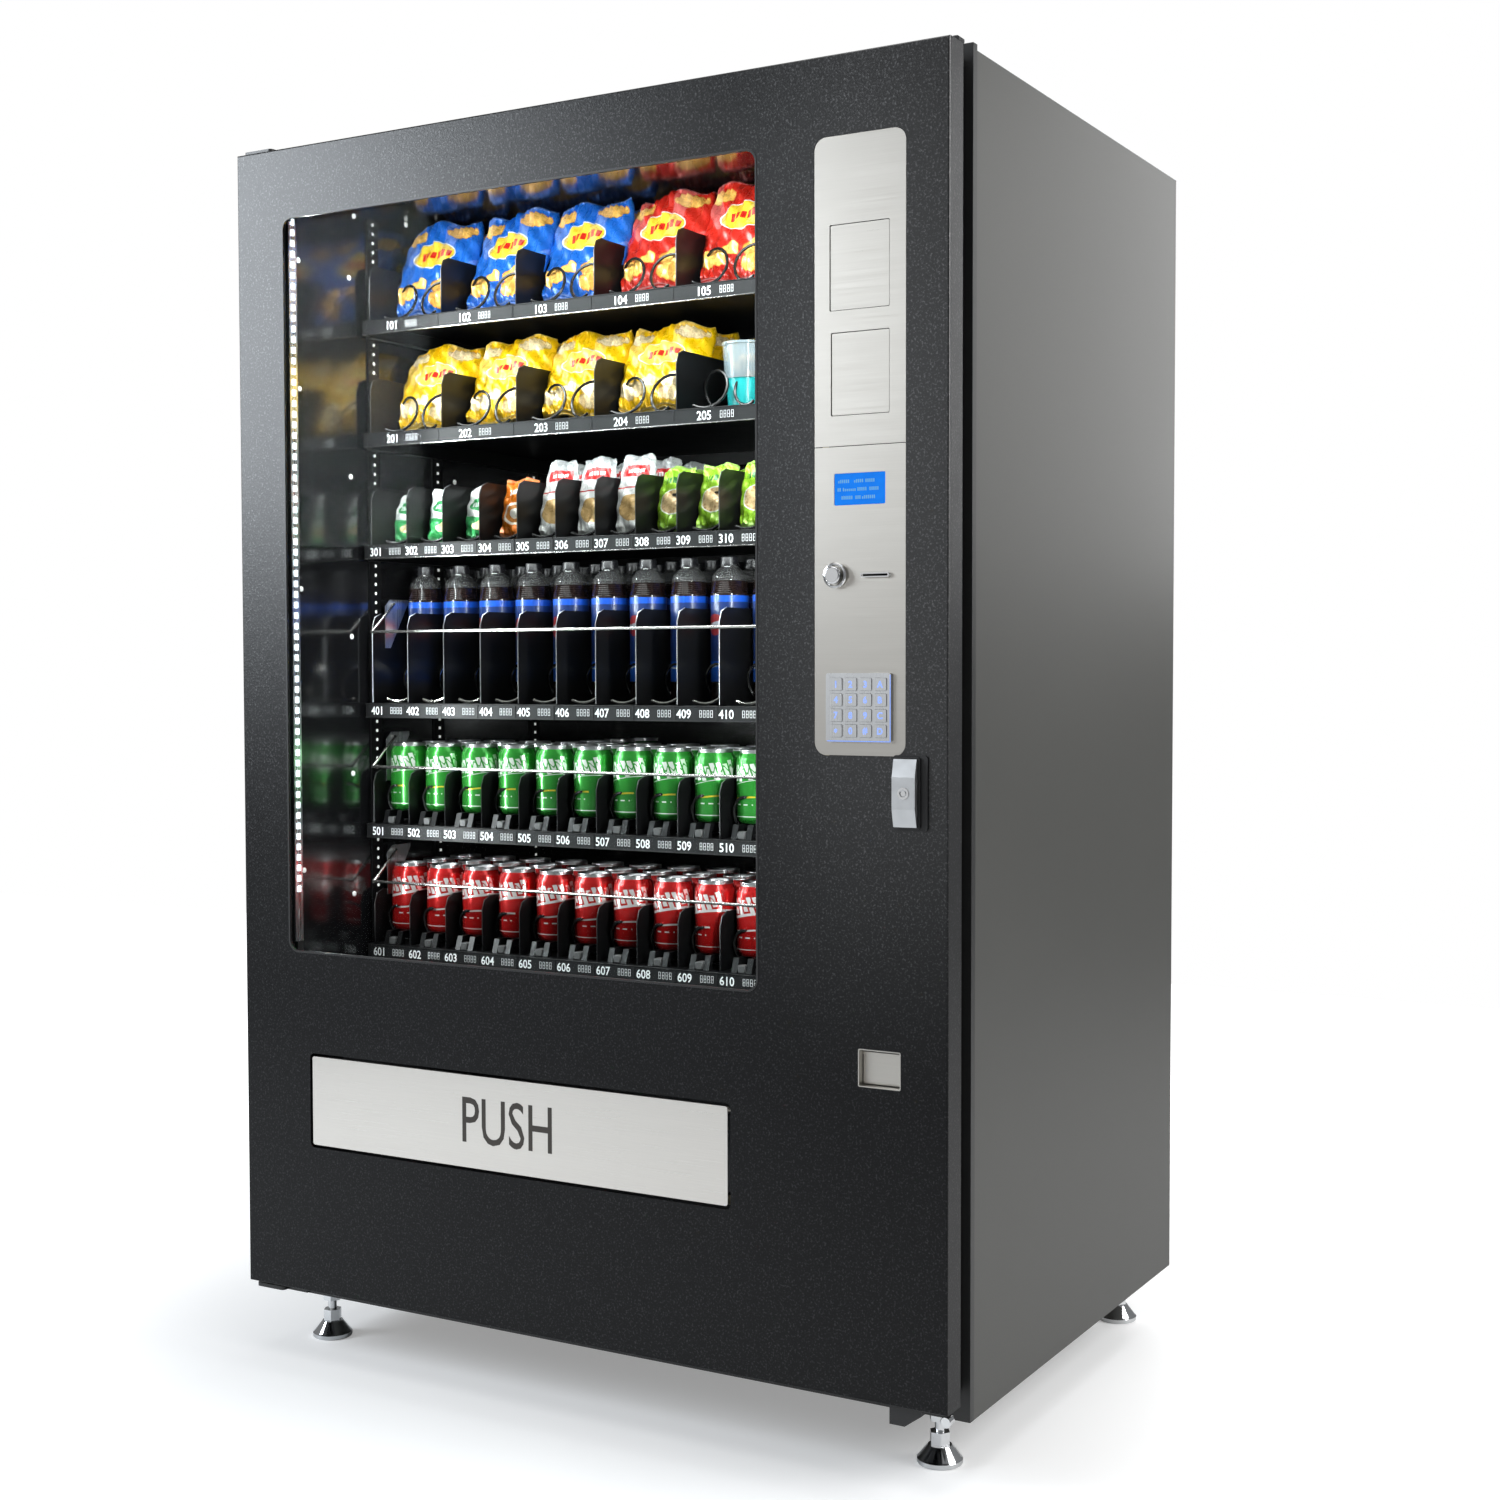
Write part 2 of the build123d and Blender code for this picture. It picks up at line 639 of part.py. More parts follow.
def build_vend_lane(deck):
    """The spiral that turns, and the column of cans between its turns."""
    with BuildPart() as vend_spiral:
        add_coil(vend_tray, vend_lane, deck)
    save(vend_spiral.part, "vend_spiral")

    with BuildPart() as vend_cans:
        for k in range(coil_turns - 1):
            y = coil_front + coil_pitch * (k + 0.5)
            turned(lane_x(vend_lane), y, deck + rail_top, can_outline)
    save(vend_cans.part, "vend_cans")


for number, (strip, divider_h) in enumerate(trays, start=1):
    deck = strip + deck_rise
    build_tray(number, deck, divider_h)
    build_motors(number, deck)
    build_spirals(number, deck)
    if number == vend_tray:
        build_vend_lane(deck)

# -------------------------------------------------------------- guard rods --
# tray number, z of the bar, z of the pivots
guard_rods = [(4, 1064, 1113), (5, 834, 884), (6, 637, 687)]
guard_left, guard_right, guard_r = 66.0, 972.6, 2.5
bar_y, pivot_y, pivot_len = 240, 300, 4.5


def build_guard_rod(number, bar_z, pivot_z):
    """Bent rod across the tray front, with a pivot pin at each end."""
    arm = Vector(0, bar_y - pivot_y, bar_z - pivot_z)
    with BuildPart() as guard:
        for x in (guard_left, guard_right):
            pivot = place(x, pivot_y, pivot_z)
            rod(Plane(pivot, z_dir=arm), guard_r, arm.length)
            with Locations(place(x, bar_y, bar_z), pivot):
                Sphere(guard_r)
        rod_x(bar_y, bar_z, guard_left, guard_right, guard_r)
        for x in (guard_left - pivot_len, guard_right):
            rod_x(pivot_y, pivot_z, x, x + pivot_len, guard_r)
    save(guard.part, f"guard_rod_{number}")


for guard_rod in guard_rods:
    build_guard_rod(*guard_rod)
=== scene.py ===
"""A glass-fronted vending machine: a cabinet with six product trays behind a hinged door.

Stations are millimetres from the door's front lower left corner: x to the right,
y back from the door's front face, z up. Blender works in metres.
"""

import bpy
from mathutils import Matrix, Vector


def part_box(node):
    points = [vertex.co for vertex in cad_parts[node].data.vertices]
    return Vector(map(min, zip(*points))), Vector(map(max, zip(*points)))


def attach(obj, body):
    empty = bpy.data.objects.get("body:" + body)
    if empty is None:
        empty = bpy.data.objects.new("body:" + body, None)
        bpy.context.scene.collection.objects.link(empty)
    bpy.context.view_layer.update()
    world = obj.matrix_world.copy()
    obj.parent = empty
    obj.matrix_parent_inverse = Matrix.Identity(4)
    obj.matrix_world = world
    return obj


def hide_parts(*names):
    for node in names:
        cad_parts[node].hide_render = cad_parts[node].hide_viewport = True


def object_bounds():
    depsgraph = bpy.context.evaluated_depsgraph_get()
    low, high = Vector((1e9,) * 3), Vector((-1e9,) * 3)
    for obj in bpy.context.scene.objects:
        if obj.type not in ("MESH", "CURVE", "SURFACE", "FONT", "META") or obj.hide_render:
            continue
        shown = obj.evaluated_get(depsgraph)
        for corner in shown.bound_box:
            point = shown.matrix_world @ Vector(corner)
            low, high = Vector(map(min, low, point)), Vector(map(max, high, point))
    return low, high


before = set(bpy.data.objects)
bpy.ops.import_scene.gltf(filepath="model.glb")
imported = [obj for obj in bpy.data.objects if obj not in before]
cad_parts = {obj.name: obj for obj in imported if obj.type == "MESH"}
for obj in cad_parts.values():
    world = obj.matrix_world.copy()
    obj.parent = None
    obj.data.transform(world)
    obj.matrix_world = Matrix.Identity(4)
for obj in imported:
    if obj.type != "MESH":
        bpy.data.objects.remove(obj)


def bounds_table():
    return [[float(value) for value in corner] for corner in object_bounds()]


cad_box = bounds_table()

import bpy
import math
import random
from itertools import product

import numpy as np
from mathutils import Matrix, Vector


# ---------------------------------------------------------------- stations --
def to_array(point):
    return np.array([point.x, point.y, point.z])


origin = to_array(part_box("door_skin")[0])


def node_spans(node):
    """The (low, high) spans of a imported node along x, y and z, in stations."""
    low, high = [(to_array(corner) - origin) * 1000 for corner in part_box(node)]
    return list(zip(low, high))


def station(x, y, z):
    """A station as a point in metres."""
    return Vector([start + value / 1000.0 for start, value in zip(origin, (x, y, z))])


TRAYS = range(1, 7)                  # numbered from the top down
(tray_left, tray_right), (tray_front, _), _ = node_spans("tray_1")
strip_z = {tray: node_spans(f"tray_{tray}")[2][0] + 12.0 for tray in TRAYS}
deck_z = {tray: strip_z[tray] + 12.5 for tray in TRAYS}
LANES = 12
LANE_PITCH = 76.8
LANES_LEFT = tray_left + 8.5
VEND_TRAY, VEND_LANE = 5, 3          # the lane whose spiral and cans move on their own
BACK_Y = (cad_box[1][1] - origin[1]) * 1000
FACING_FRONT = -1.57                 # turn that brings a printed front to -Y, in radians
rng = random.Random(7)


def lane_edge(lanes):
    """Left edge of a lane, counted in lanes from the left."""
    return LANES_LEFT + LANE_PITCH * lanes


def lane_centre(lane):
    return lane_edge(lane + 0.5)


# ------------------------------------------------------------------ meshes --
looks = {}                           # materials by name


class Mesh:
    """Collects shapes in stations, with a slot number per face and a "loc" per vertex."""

    def __init__(self):
        self.verts, self.locs, self.faces, self.slots = [], [], [], []
        self.count = 0

    def add(self, shape, slot=0, loc=None):
        """Add (verts, faces). slot is one number or one per face; loc defaults to the verts."""
        verts = np.asarray(shape[0], float)
        faces = shape[1]
        self.verts.append(verts)
        self.locs.append(verts if loc is None else np.asarray(loc, float))
        self.faces += [[self.count + i for i in face] for face in faces]
        self.slots += [slot] * len(faces) if isinstance(slot, int) else list(slot)
        self.count += len(verts)

    def build(self, name, materials, body=None, smooth=None):
        """Make the object. Without a body to ride on it belongs to the stage."""
        world = np.concatenate(self.verts) / 1000.0 + origin
        data = bpy.data.meshes.new(name)
        data.from_pydata(world.tolist(), [], self.faces)
        for material in materials:
            data.materials.append(looks[material])
        data.polygons.foreach_set("material_index", np.array(self.slots, np.int32))
        attribute = data.attributes.new("loc", "FLOAT_VECTOR", "POINT")
        locs = np.concatenate(self.locs).astype(np.float32)
        attribute.data.foreach_set("vector", locs.ravel())
        data.polygons.foreach_set("use_smooth", np.ones(len(self.faces), bool))
        data.update()
        if smooth is not None:
            data.set_sharp_from_angle(angle=math.radians(smooth))
        built = bpy.data.objects.new(name, data)
        bpy.context.scene.collection.objects.link(built)
        if body is None:
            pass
        else:
            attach(built, body)
        return built


def box(xs, ys, zs, chamfer=0.4):
    """Box over three (low, high) spans, edges chamfered: three vertices to a corner."""
    spans = (xs, ys, zs)
    chamfer = min(chamfer, *((high - low) / 2.01 for low, high in spans))
    verts, at = [], {}
    for corner in product((0, 1), repeat=3):
        for axis in range(3):
            point = [span[end] + (-chamfer if end else chamfer)
                     for span, end in zip(spans, corner)]
            point[axis] = spans[axis][corner[axis]]
            at[corner + (axis,)] = len(verts)
            verts.append(point)
    faces = []
    square = [(0, 0), (1, 0), (1, 1), (0, 1)]
    for side in (0, 1):              # flat sides
        turn = 1 if side else -1
        faces.append([at[side, a, b, 0] for a, b in square][::turn])
        faces.append([at[b, side, a, 1] for a, b in square][::turn])
        faces.append([at[a, b, side, 2] for a, b in square][::turn])
    for a, b in product((0, 1), repeat=2):       # chamfers along the edges
        turn = -1 if a == b else 1
        faces.append([at[0, a, b, 1], at[1, a, b, 1], at[1, a, b, 2], at[0, a, b, 2]][::turn])
        faces.append([at[b, 0, a, 2], at[b, 1, a, 2], at[b, 1, a, 0], at[b, 0, a, 0]][::turn])
        faces.append([at[a, b, 0, 0], at[a, b, 1, 0], at[a, b, 1, 1], at[a, b, 0, 1]][::turn])
    for corner in product((0, 1), repeat=3):     # corner triangles
        turn = 1 if sum(corner) % 2 else -1
        faces.append([at[corner + (axis,)] for axis in range(3)][::turn])
    return verts, faces


def revolve(profile, segments, centre=(0, 0, 0), axis="z"):
    """Turned shape from (radius, height) points; axis is the way the height runs.

    Every pair of profile points makes a band of `segments` faces.
    """
    verts, rings = [], []
    for radius, height in profile:
        count = 1 if radius < 1e-6 else segments
        rings.append(range(len(verts), len(verts) + count))
        for k in range(count):
            angle = 2 * math.pi * k / segments
            verts.append((radius * math.cos(angle), radius * math.sin(angle), height))
    faces = []
    for low, high in zip(rings, rings[1:]):
        for k in range(segments):
            after = (k + 1) % segments
            if len(low) == 1:
                faces.append([low[0], high[after], high[k]])
            elif len(high) == 1:
                faces.append([low[k], low[after], high[0]])
            else:
                faces.append([low[k], low[after], high[after], high[k]])
    across, up, height = np.array(verts, float).T
    columns = {"z": (across, up, height), "-y": (across, -height, up), "+y": (across, height, up),
               "+x": (height, across, up), "-x": (-height, across, up)}[axis]
    if axis in ("+y", "-x"):         # these two mirror the shape
        faces = [face[::-1] for face in faces]
    return np.stack(columns, 1) + np.array(centre, float), faces


def tube(path, radius, sides=8):
    """Round bar along a polyline, closed at both ends."""
    path = np.array(path, float)
    along = np.zeros_like(path)
    along[1:-1] = path[2:] - path[:-2]
    along[0], along[-1] = path[1] - path[0], path[-1] - path[-2]
    along /= np.linalg.norm(along, axis=1)[:, None]
    helper = np.array([0, 0, 1.0]) if abs(along[0][2]) < 0.9 else np.array([1.0, 0, 0])
    first = np.cross(along[0], helper)
    first /= np.linalg.norm(first)
    verts, faces = [], []
    for point, direction in zip(path, along):
        first = first - direction * np.dot(first, direction)
        first /= np.linalg.norm(first)
        second = np.cross(direction, first)
        for k in range(sides):
            angle = 2 * math.pi * k / sides
            verts.append(point + radius * (math.cos(angle) * first + math.sin(angle) * second))
    for i in range(len(path) - 1):
        near, far = i * sides, (i + 1) * sides
        for k in range(sides):
            after = (k + 1) % sides
            faces.append([near + k, near + after, far + after, far + k])
    faces.append(list(range(sides))[::-1])
    faces.append(list(range(len(verts) - sides, len(verts))))
    return verts, faces


def loft(near, far):
    """Solid between two loops with the same number of points."""
    count = len(near)
    faces = [list(range(count))[::-1], list(range(count, 2 * count))]
    for i in range(count):
        j = (i + 1) % count
        faces.append([i, j, count + j, count + i])
    return near + far, faces


def prism(outline, front, back):
    """Outline of (x, z) points pushed along y from front to back."""
    count = len(outline)
    verts = [(x, y, z) for y in (front, back) for x, z in outline]
    faces = [list(range(count)), list(range(count, 2 * count))[::-1]]
    for i in range(count):
        j = (i + 1) % count
        faces.append([i, count + i, count + j, j])
    return verts, faces


def rounded(left, right, bottom, top, radius):
    """Rounded rectangle of (x, z) points."""
    arc_steps = 6
    points = []
    for x, z, start in ((right - radius, top - radius, 0), (left + radius, top - radius, 90),
                        (left + radius, bottom + radius, 180),
                        (right - radius, bottom + radius, 270)):
        for i in range(arc_steps + 1):
            angle = math.radians(start + 90 * i / arc_steps)
            points.append((x + radius * math.cos(angle), z + radius * math.sin(angle)))
    return points[::-1]


def rim(outer, inner, front, back):
    """Frame between two (x, z) outlines with the same number of points."""
    count = len(outer)
    verts = [(x, y, z) for y in (front, back) for loop in (outer, inner) for x, z in loop]
    faces = []
    for i in range(count):
        j = (i + 1) % count
        faces += [[i, j, count + j, count + i],
                  [2 * count + i, 3 * count + i, 3 * count + j, 2 * count + j],
                  [i, 2 * count + i, 2 * count + j, j],
                  [count + i, count + j, 3 * count + j, 3 * count + i]]
    return verts, faces


def letters(text, size, bold, stretch=1.0):
    """Flat letters facing -Y, starting at x = 0 with their baseline at z = 0."""
    curve = bpy.data.curves.new("t", "FONT")
    curve.body = text
    curve.size = size
    curve.offset = bold
    curve.resolution_u = 3
    carrier = bpy.data.objects.new("t", curve)
    bpy.context.scene.collection.objects.link(carrier)
    bpy.context.view_layer.update()
    data = bpy.data.meshes.new_from_object(carrier)
    flat = np.array([tuple(vertex.co) for vertex in data.vertices], float).reshape(-1, 3)
    faces = [list(polygon.vertices) for polygon in data.polygons]
    bpy.data.objects.remove(carrier)
    bpy.data.meshes.remove(data)
    bpy.data.curves.remove(curve)
    return np.stack([flat[:, 0] * stretch, -flat[:, 2], flat[:, 1]], 1), faces


# ------------------------------------------------------------ shader nodes --
def feed(tree, target, value):
    """Link a Value or a socket into an input, or set the input to a plain value."""
    if isinstance(value, Value):
        value = value.socket
    if isinstance(value, bpy.types.NodeSocket):
        tree.links.new(value, target)
    elif target.type == "RGBA":
        target.default_value = (*value, 1)
    else:
        target.default_value = value


def add_node(tree, kind, inputs=None, output=0, **settings):
    """Make a node, feed its inputs and return one of its outputs."""
    node = tree.nodes.new("ShaderNode" + kind)
    for key, value in settings.items():
        setattr(node, key, value)
    for key, value in (inputs or {}).items():
        feed(tree, node.inputs[key], value)
    return node.outputs[output]


def add_mix(tree, factor, first, second):
    return add_node(tree, "Mix", {0: factor, 6: first, 7: second}, 2, data_type="RGBA")


class Value:
    """A number in a shader, with arithmetic."""

    def __init__(self, tree, socket):
        self.tree, self.socket = tree, socket

    def op(self, operation, *others):
        inputs = dict(enumerate((self, *others)))
        return Value(self.tree, add_node(self.tree, "Math", inputs, operation=operation))

    def __add__(self, other): return self.op("ADD", other)
    def __sub__(self, other): return self.op("SUBTRACT", other)
    def __mul__(self, other): return self.op("MULTIPLY", other)
    def __truediv__(self, other): return self.op("DIVIDE", other)
    def lt(self, other): return self.op("LESS_THAN", other)
    def gt(self, other): return self.op("GREATER_THAN", other)
    def abs(self): return self.op("ABSOLUTE")
    def sin(self): return self.op("SINE")
    def mod(self, other): return self.op("FLOORED_MODULO", other)
    def square(self): return self * self

    def near(self, reach):
        """1 where the value lies within reach of zero."""
        return self.abs().lt(reach)

    def soft(self, start, end):
        """Rises from 0 to 1 between start and end."""
        socket = add_node(self.tree, "MapRange", {0: self, 1: start, 2: end},
                          interpolation_type="SMOOTHSTEP")
        return Value(self.tree, socket)


class Material:
    """A named Principled material and the nodes that feed it."""

    INPUTS = {"color": "Base Color", "metallic": "Metallic", "roughness": "Roughness",
              "specular": "Specular IOR Level", "anisotropic": "Anisotropic", "alpha": "Alpha",
              "coat": "Coat Weight", "coat_roughness": "Coat Roughness",
              "glow": "Emission Color", "glow_strength": "Emission Strength"}

    def __init__(self, name):
        looks[name] = bpy.data.materials.new(name)
        looks[name].use_nodes = True
        self.tree = looks[name].node_tree
        self.shader = self.tree.nodes["Principled BSDF"]

    def set(self, **values):
        for key, value in values.items():
            feed(self.tree, self.shader.inputs[self.INPUTS[key]], value)

    def place(self):
        """Object coordinates."""
        return add_node(self.tree, "TexCoord", output="Object")

    def loc(self):
        """The mesh's own "loc" attribute."""
        return add_node(self.tree, "Attribute", output="Vector", attribute_name="loc")

    def scaled(self, vector, factors):
        return add_node(self.tree, "VectorMath", {0: vector, 1: factors}, operation="MULTIPLY")

    def split(self, vector):
        return [Value(self.tree, socket) for socket in
                add_node(self.tree, "SeparateXYZ", {0: vector}).node.outputs]

    def noise(self, vector, scale, detail=2.0, rough=0.5, distortion=0.0):
        inputs = {"Vector": vector, "Scale": scale, "Detail": detail, "Roughness": rough,
                  "Distortion": distortion}
        return Value(self.tree, add_node(self.tree, "TexNoise", inputs, "Fac"))

    def cells(self, vector, scale):
        inputs = {"Vector": vector, "Scale": scale, "Randomness": 1.0}
        return Value(self.tree, add_node(self.tree, "TexVoronoi", inputs, "Distance", feature="F1"))

    def mix(self, factor, first, second):
        return add_mix(self.tree, factor, first, second)

    def paint(self, color, *layers):
        """Lay (mask, ink) pairs over a colour in turn."""
        for mask, ink in layers:
            color = self.mix(mask, color, ink)
        return color

    def bump(self, height, strength, distance):
        inputs = {"Strength": strength, "Distance": distance, "Height": height}
        feed(self.tree, self.shader.inputs["Normal"], add_node(self.tree, "Bump", inputs))


def shade(color, factor):
    return tuple(min(1, channel * factor) for channel in color)


def grey(level):
    return (level, level, level)


# ------------------------------------------------------- material families --
# In each family, `rough` is the mean roughness; the noise swings evenly about it.
def powder(name, base, rough, grain, strength, speck, distance, sheen_span=None):
    """Fine-textured powder coat. speck: how much paler the flecks are; grain: noise scale."""
    mat = Material(name)
    place = mat.place()
    fine = mat.noise(place, scale=grain, detail=3.0, rough=0.6)
    broad = mat.noise(place, scale=2.3, detail=3.0)
    fleck = fine.soft(0.52, 0.72)
    ground = mat.mix(broad, shade(base, 0.85), shade(base, 1.15))
    mat.set(color=mat.mix(fleck * 0.7, ground, shade(base, 1 + speck * 3)),
            roughness=fine * 0.22 + (rough - 0.11) + (broad - 0.5) * 0.06)
    mat.bump(fine, strength=strength, distance=distance)
    # painted sheen: the specular level rises towards the top right and is higher still on the flecks
    if sheen_span:                         # shinier towards the top right, flecks shinier still
        x, _, z = mat.split(place)
        level = z.soft(*sheen_span["z"]) * (x.soft(*sheen_span["x"]) * 0.55 + 0.24) + 0.26
        mat.set(specular=level * (fleck * 0.90 + 0.72))


def brushed(name, base, rough, along, tone, scale):
    """Brushed sheet: long fine scratches and faint wide bands, run along one axis."""
    mat = Material(name)
    stretch = {"x": (0.006, 0.5, 1.0), "z": (1.0, 0.5, 0.006)}[along]
    wide_stretch = tuple(max(factor, 0.05) for factor in stretch)
    fine = mat.noise(mat.scaled(mat.place(), stretch), scale=scale, detail=3.0, rough=0.7)
    wide = mat.noise(mat.scaled(mat.place(), wide_stretch), scale=28.0, detail=2.0)
    mat.set(color=mat.mix(fine * 0.75 + wide * 0.25, shade(base, 1 - tone), shade(base, 1 + tone)),
            metallic=1.0, roughness=fine * 0.22 + (rough - 0.11), anisotropic=0.5)
    mat.bump(fine, strength=0.12, distance=0.00008)


def metal(name, base, rough, variation, scale):
    mat = Material(name)
    noise = mat.noise(mat.place(), scale=scale, detail=4.0, rough=0.6)
    mat.set(color=mat.mix(noise, shade(base, 1 - variation), shade(base, 1 + variation)),
            metallic=1.0, roughness=noise * 0.16 + (rough - 0.08))
    mat.bump(noise, strength=0.05, distance=0.0001)


def plastic(name, base, rough, variation, scale, strength, specular=0.5):
    mat = Material(name)
    fine = mat.noise(mat.place(), scale=scale, detail=3.0, rough=0.6)
    broad = mat.noise(mat.place(), scale=9.0, detail=2.0)
    mat.set(color=mat.mix(broad, shade(base, 1 - variation), shade(base, 1 + variation)),
            roughness=fine * 0.14 + (rough - 0.07), specular=specular)
    mat.bump(fine, strength=strength, distance=0.0001)


def glow(name, color, strength, base=grey(0.02)):
    mat = Material(name)
    noise = mat.noise(mat.place(), scale=180.0, detail=2.0)
    mat.set(color=base, glow=mat.mix(noise, shade(color, 0.85), color), glow_strength=strength,
            roughness=0.4)


def door_sheen_span():
    """Where the painted sheen on the door rises, as spans of its own coordinates."""
    corners = [tuple(corner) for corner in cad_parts["door_skin"].bound_box]

    def part(axis, start, end):
        low = min(corner[axis] for corner in corners)
        high = max(corner[axis] for corner in corners)
        return low + start * (high - low), low + end * (high - low)

    return {"z": part(2, 0.22, 0.50), "x": part(0, 0.70, 0.92)}


powder("door_coat", (0.0050, 0.0051, 0.0057), rough=0.33, grain=330, strength=0.9, speck=1.0,
       distance=0.00023, sheen_span=door_sheen_span())
powder("cabinet_coat", (0.058, 0.058, 0.053), rough=0.44, grain=520, strength=0.5, speck=0.10,
       distance=0.00006)
powder("frame_coat", grey(0.02), rough=0.4, grain=520, strength=0.4, speck=0.2, distance=0.00006)

# name, colour, roughness, brushing axis, tone spread, scratch scale
for row in (
        ("stainless_h", (0.60, 0.575, 0.53), 0.33, "x", 0.10, 1100),
        ("stainless_flap", (0.73, 0.70, 0.655), 0.31, "x", 0.12, 1100),
        ("satin_steel", (0.72, 0.73, 0.74), 0.30, "z", 0.08, 900),
        ("anodised_alu", (0.78, 0.79, 0.80), 0.28, "z", 0.08, 800)):
    brushed(*row)

# name, colour, roughness, colour variation, noise scale
for row in (
        ("galvanised", (0.62, 0.63, 0.64), 0.38, 0.12, 45),
        ("chrome", (0.80, 0.81, 0.82), 0.10, 0.05, 25),
        ("bright_rod", (0.58, 0.56, 0.54), 0.24, 0.06, 120),
        ("brass", (0.75, 0.56, 0.27), 0.3, 0.1, 90),
        ("edge_dark", (0.10, 0.10, 0.105), 0.38, 0.1, 90),
        ("can_lid", (0.52, 0.52, 0.53), 0.30, 0.05, 120),
        ("can_tab", (0.40, 0.41, 0.42), 0.26, 0.05, 200),
        *((f"coil_tip_{tray}", (0.72, 0.70, 0.66), 0.2, 0.08, 90) for tray in TRAYS)):
    metal(*row)

# name, colour, roughness, colour variation, noise scale, bump strength, specular (0.5 if left out)
for row in (
        ("gasket_rubber", grey(0.012), 0.6, 0.2, 500, 0.3, 0.3),
        ("black_abs", (0.015, 0.015, 0.016), 0.42, 0.2, 700, 0.3),
        ("foam", (0.72, 0.62, 0.42), 0.85, 0.12, 900, 0.6, 0.2),
        ("compressor_enamel", grey(0.01), 0.22, 0.2, 40, 0.05),
        ("motor_white", (0.72, 0.72, 0.68), 0.4, 0.06, 500, 0.2),
        ("label_white", (0.86, 0.88, 0.88), 0.5, 0.04, 500, 0.1),
        ("push_ink", (0.035, 0.028, 0.022), 0.35, 0.25, 400, 0.2),
        ("wire_black", grey(0.012), 0.24, 0.2, 300, 0.05),
        ("ramp_grey", grey(0.07), 0.5, 0.2, 250, 0.1),
        ("bottle_cap", (0.012, 0.012, 0.014), 0.25, 0.2, 400, 0.1),
        ("cup_teal", (0.02, 0.42, 0.42), 0.25, 0.2, 80, 0.1),
        ("cup_fill", (0.50, 0.30, 0.14), 0.5, 0.5, 60, 1.0),
        ("pcb_green", (0.012, 0.10, 0.045), 0.35, 0.25, 220, 0.15),
        ("pcb_parts", (0.02, 0.02, 0.022), 0.4, 0.2, 500, 0.1),
        *((f"label_dim_{tray}", (0.72, 0.73, 0.74), 0.5, 0.06, 500, 0.1) for tray in TRAYS)):
    plastic(*row)

# name, light colour, strength, surface colour (near black if left out)
for row in (
        # painted light: the post holes glow though they are no lamps
        ("hole_light", (0.9, 0.9, 0.88), 0.55, (0.85, 0.85, 0.83)),
        # painted light: the liner rivets glow though they are no lamps
        ("rivet_white", (0.9, 0.9, 0.88), 0.30, (0.85, 0.85, 0.83)),
        ("led_white", (0.82, 0.92, 1.0), 2.2, grey(0.8)),
        ("blue_glow", (0.12, 0.30, 1.0), 1.3),
        ("key_legend", (0.22, 0.36, 1.0), 1.5),
        ("lcd_dash", (0.16, 0.55, 1.0), 0.75)):
    glow(*row)


# -------------------------------------------------------- single materials --
def liner_gloss():
    mat = Material("liner_gloss")
    place = mat.place()
    broad = mat.noise(place, scale=14.0, detail=3.0)
    fine = mat.noise(place, scale=900.0, detail=2.0)
    mat.set(color=mat.mix(broad, (0.004, 0.004, 0.0045), (0.009, 0.009, 0.010)),
            roughness=broad * 0.10 + 0.10 + fine * 0.04,
            specular=0.85, coat=0.5, coat_roughness=0.10)
    mat.bump(broad, strength=0.05, distance=0.0008)


def tray_gloss():
    mat = Material("tray_gloss")
    place = mat.place()
    broad = mat.noise(place, scale=30.0, detail=3.0)
    fine = mat.noise(place, scale=700.0, detail=2.0)
    mat.set(color=mat.mix(broad, (0.003, 0.003, 0.0032), (0.006, 0.006, 0.0065)),
            roughness=broad * 0.10 + 0.26 + fine * 0.06, specular=0.22)
    mat.bump(fine, strength=0.06, distance=0.0001)


def price_strip():
    mat = Material("price_strip")
    fine = mat.noise(mat.place(), scale=260.0, detail=3.0)
    broad = mat.noise(mat.scaled(mat.place(), (1, 1, 0.2)), scale=14.0, detail=2.0)
    mat.set(color=mat.mix(broad, (0.008, 0.008, 0.0085), (0.020, 0.020, 0.021)),
            roughness=fine * 0.1 + 0.36, specular=0.25)
    mat.bump(fine, strength=0.08, distance=0.0001)


def window_glass():
    """Clear pane that reflects more at grazing angles."""
    mat = Material("window_glass")
    tree = mat.tree
    tree.nodes.remove(mat.shader)
    clear = add_node(tree, "BsdfTransparent", {0: (0.975, 0.985, 0.98)})
    haze = mat.noise(mat.place(), scale=6.0).op("MULTIPLY_ADD", 0.02, 0.01)
    mirror = add_node(tree, "BsdfGlossy", {"Roughness": haze})
    facing = Value(tree, add_node(tree, "LayerWeight", {"Blend": 0.5}, "Facing"))
    # reflection: 0.0005 head on, 0.4 more at the edge, steepened by the sixth power
    reflection = facing.op("POWER", 6.0).op("MULTIPLY_ADD", 0.4, 0.0005)
    surface = add_node(tree, "MixShader", {0: reflection, 1: clear, 2: mirror})
    feed(tree, tree.nodes["Material Output"].inputs[0], surface)


def display_blue():
    mat = Material("display_blue")
    noise = mat.noise(mat.place(), scale=60.0, detail=2.0)
    color = mat.mix(noise, (0.004, 0.14, 0.62), (0.006, 0.20, 0.78))
    mat.set(color=color, glow=color, glow_strength=0.40, roughness=0.25, specular=0.15)


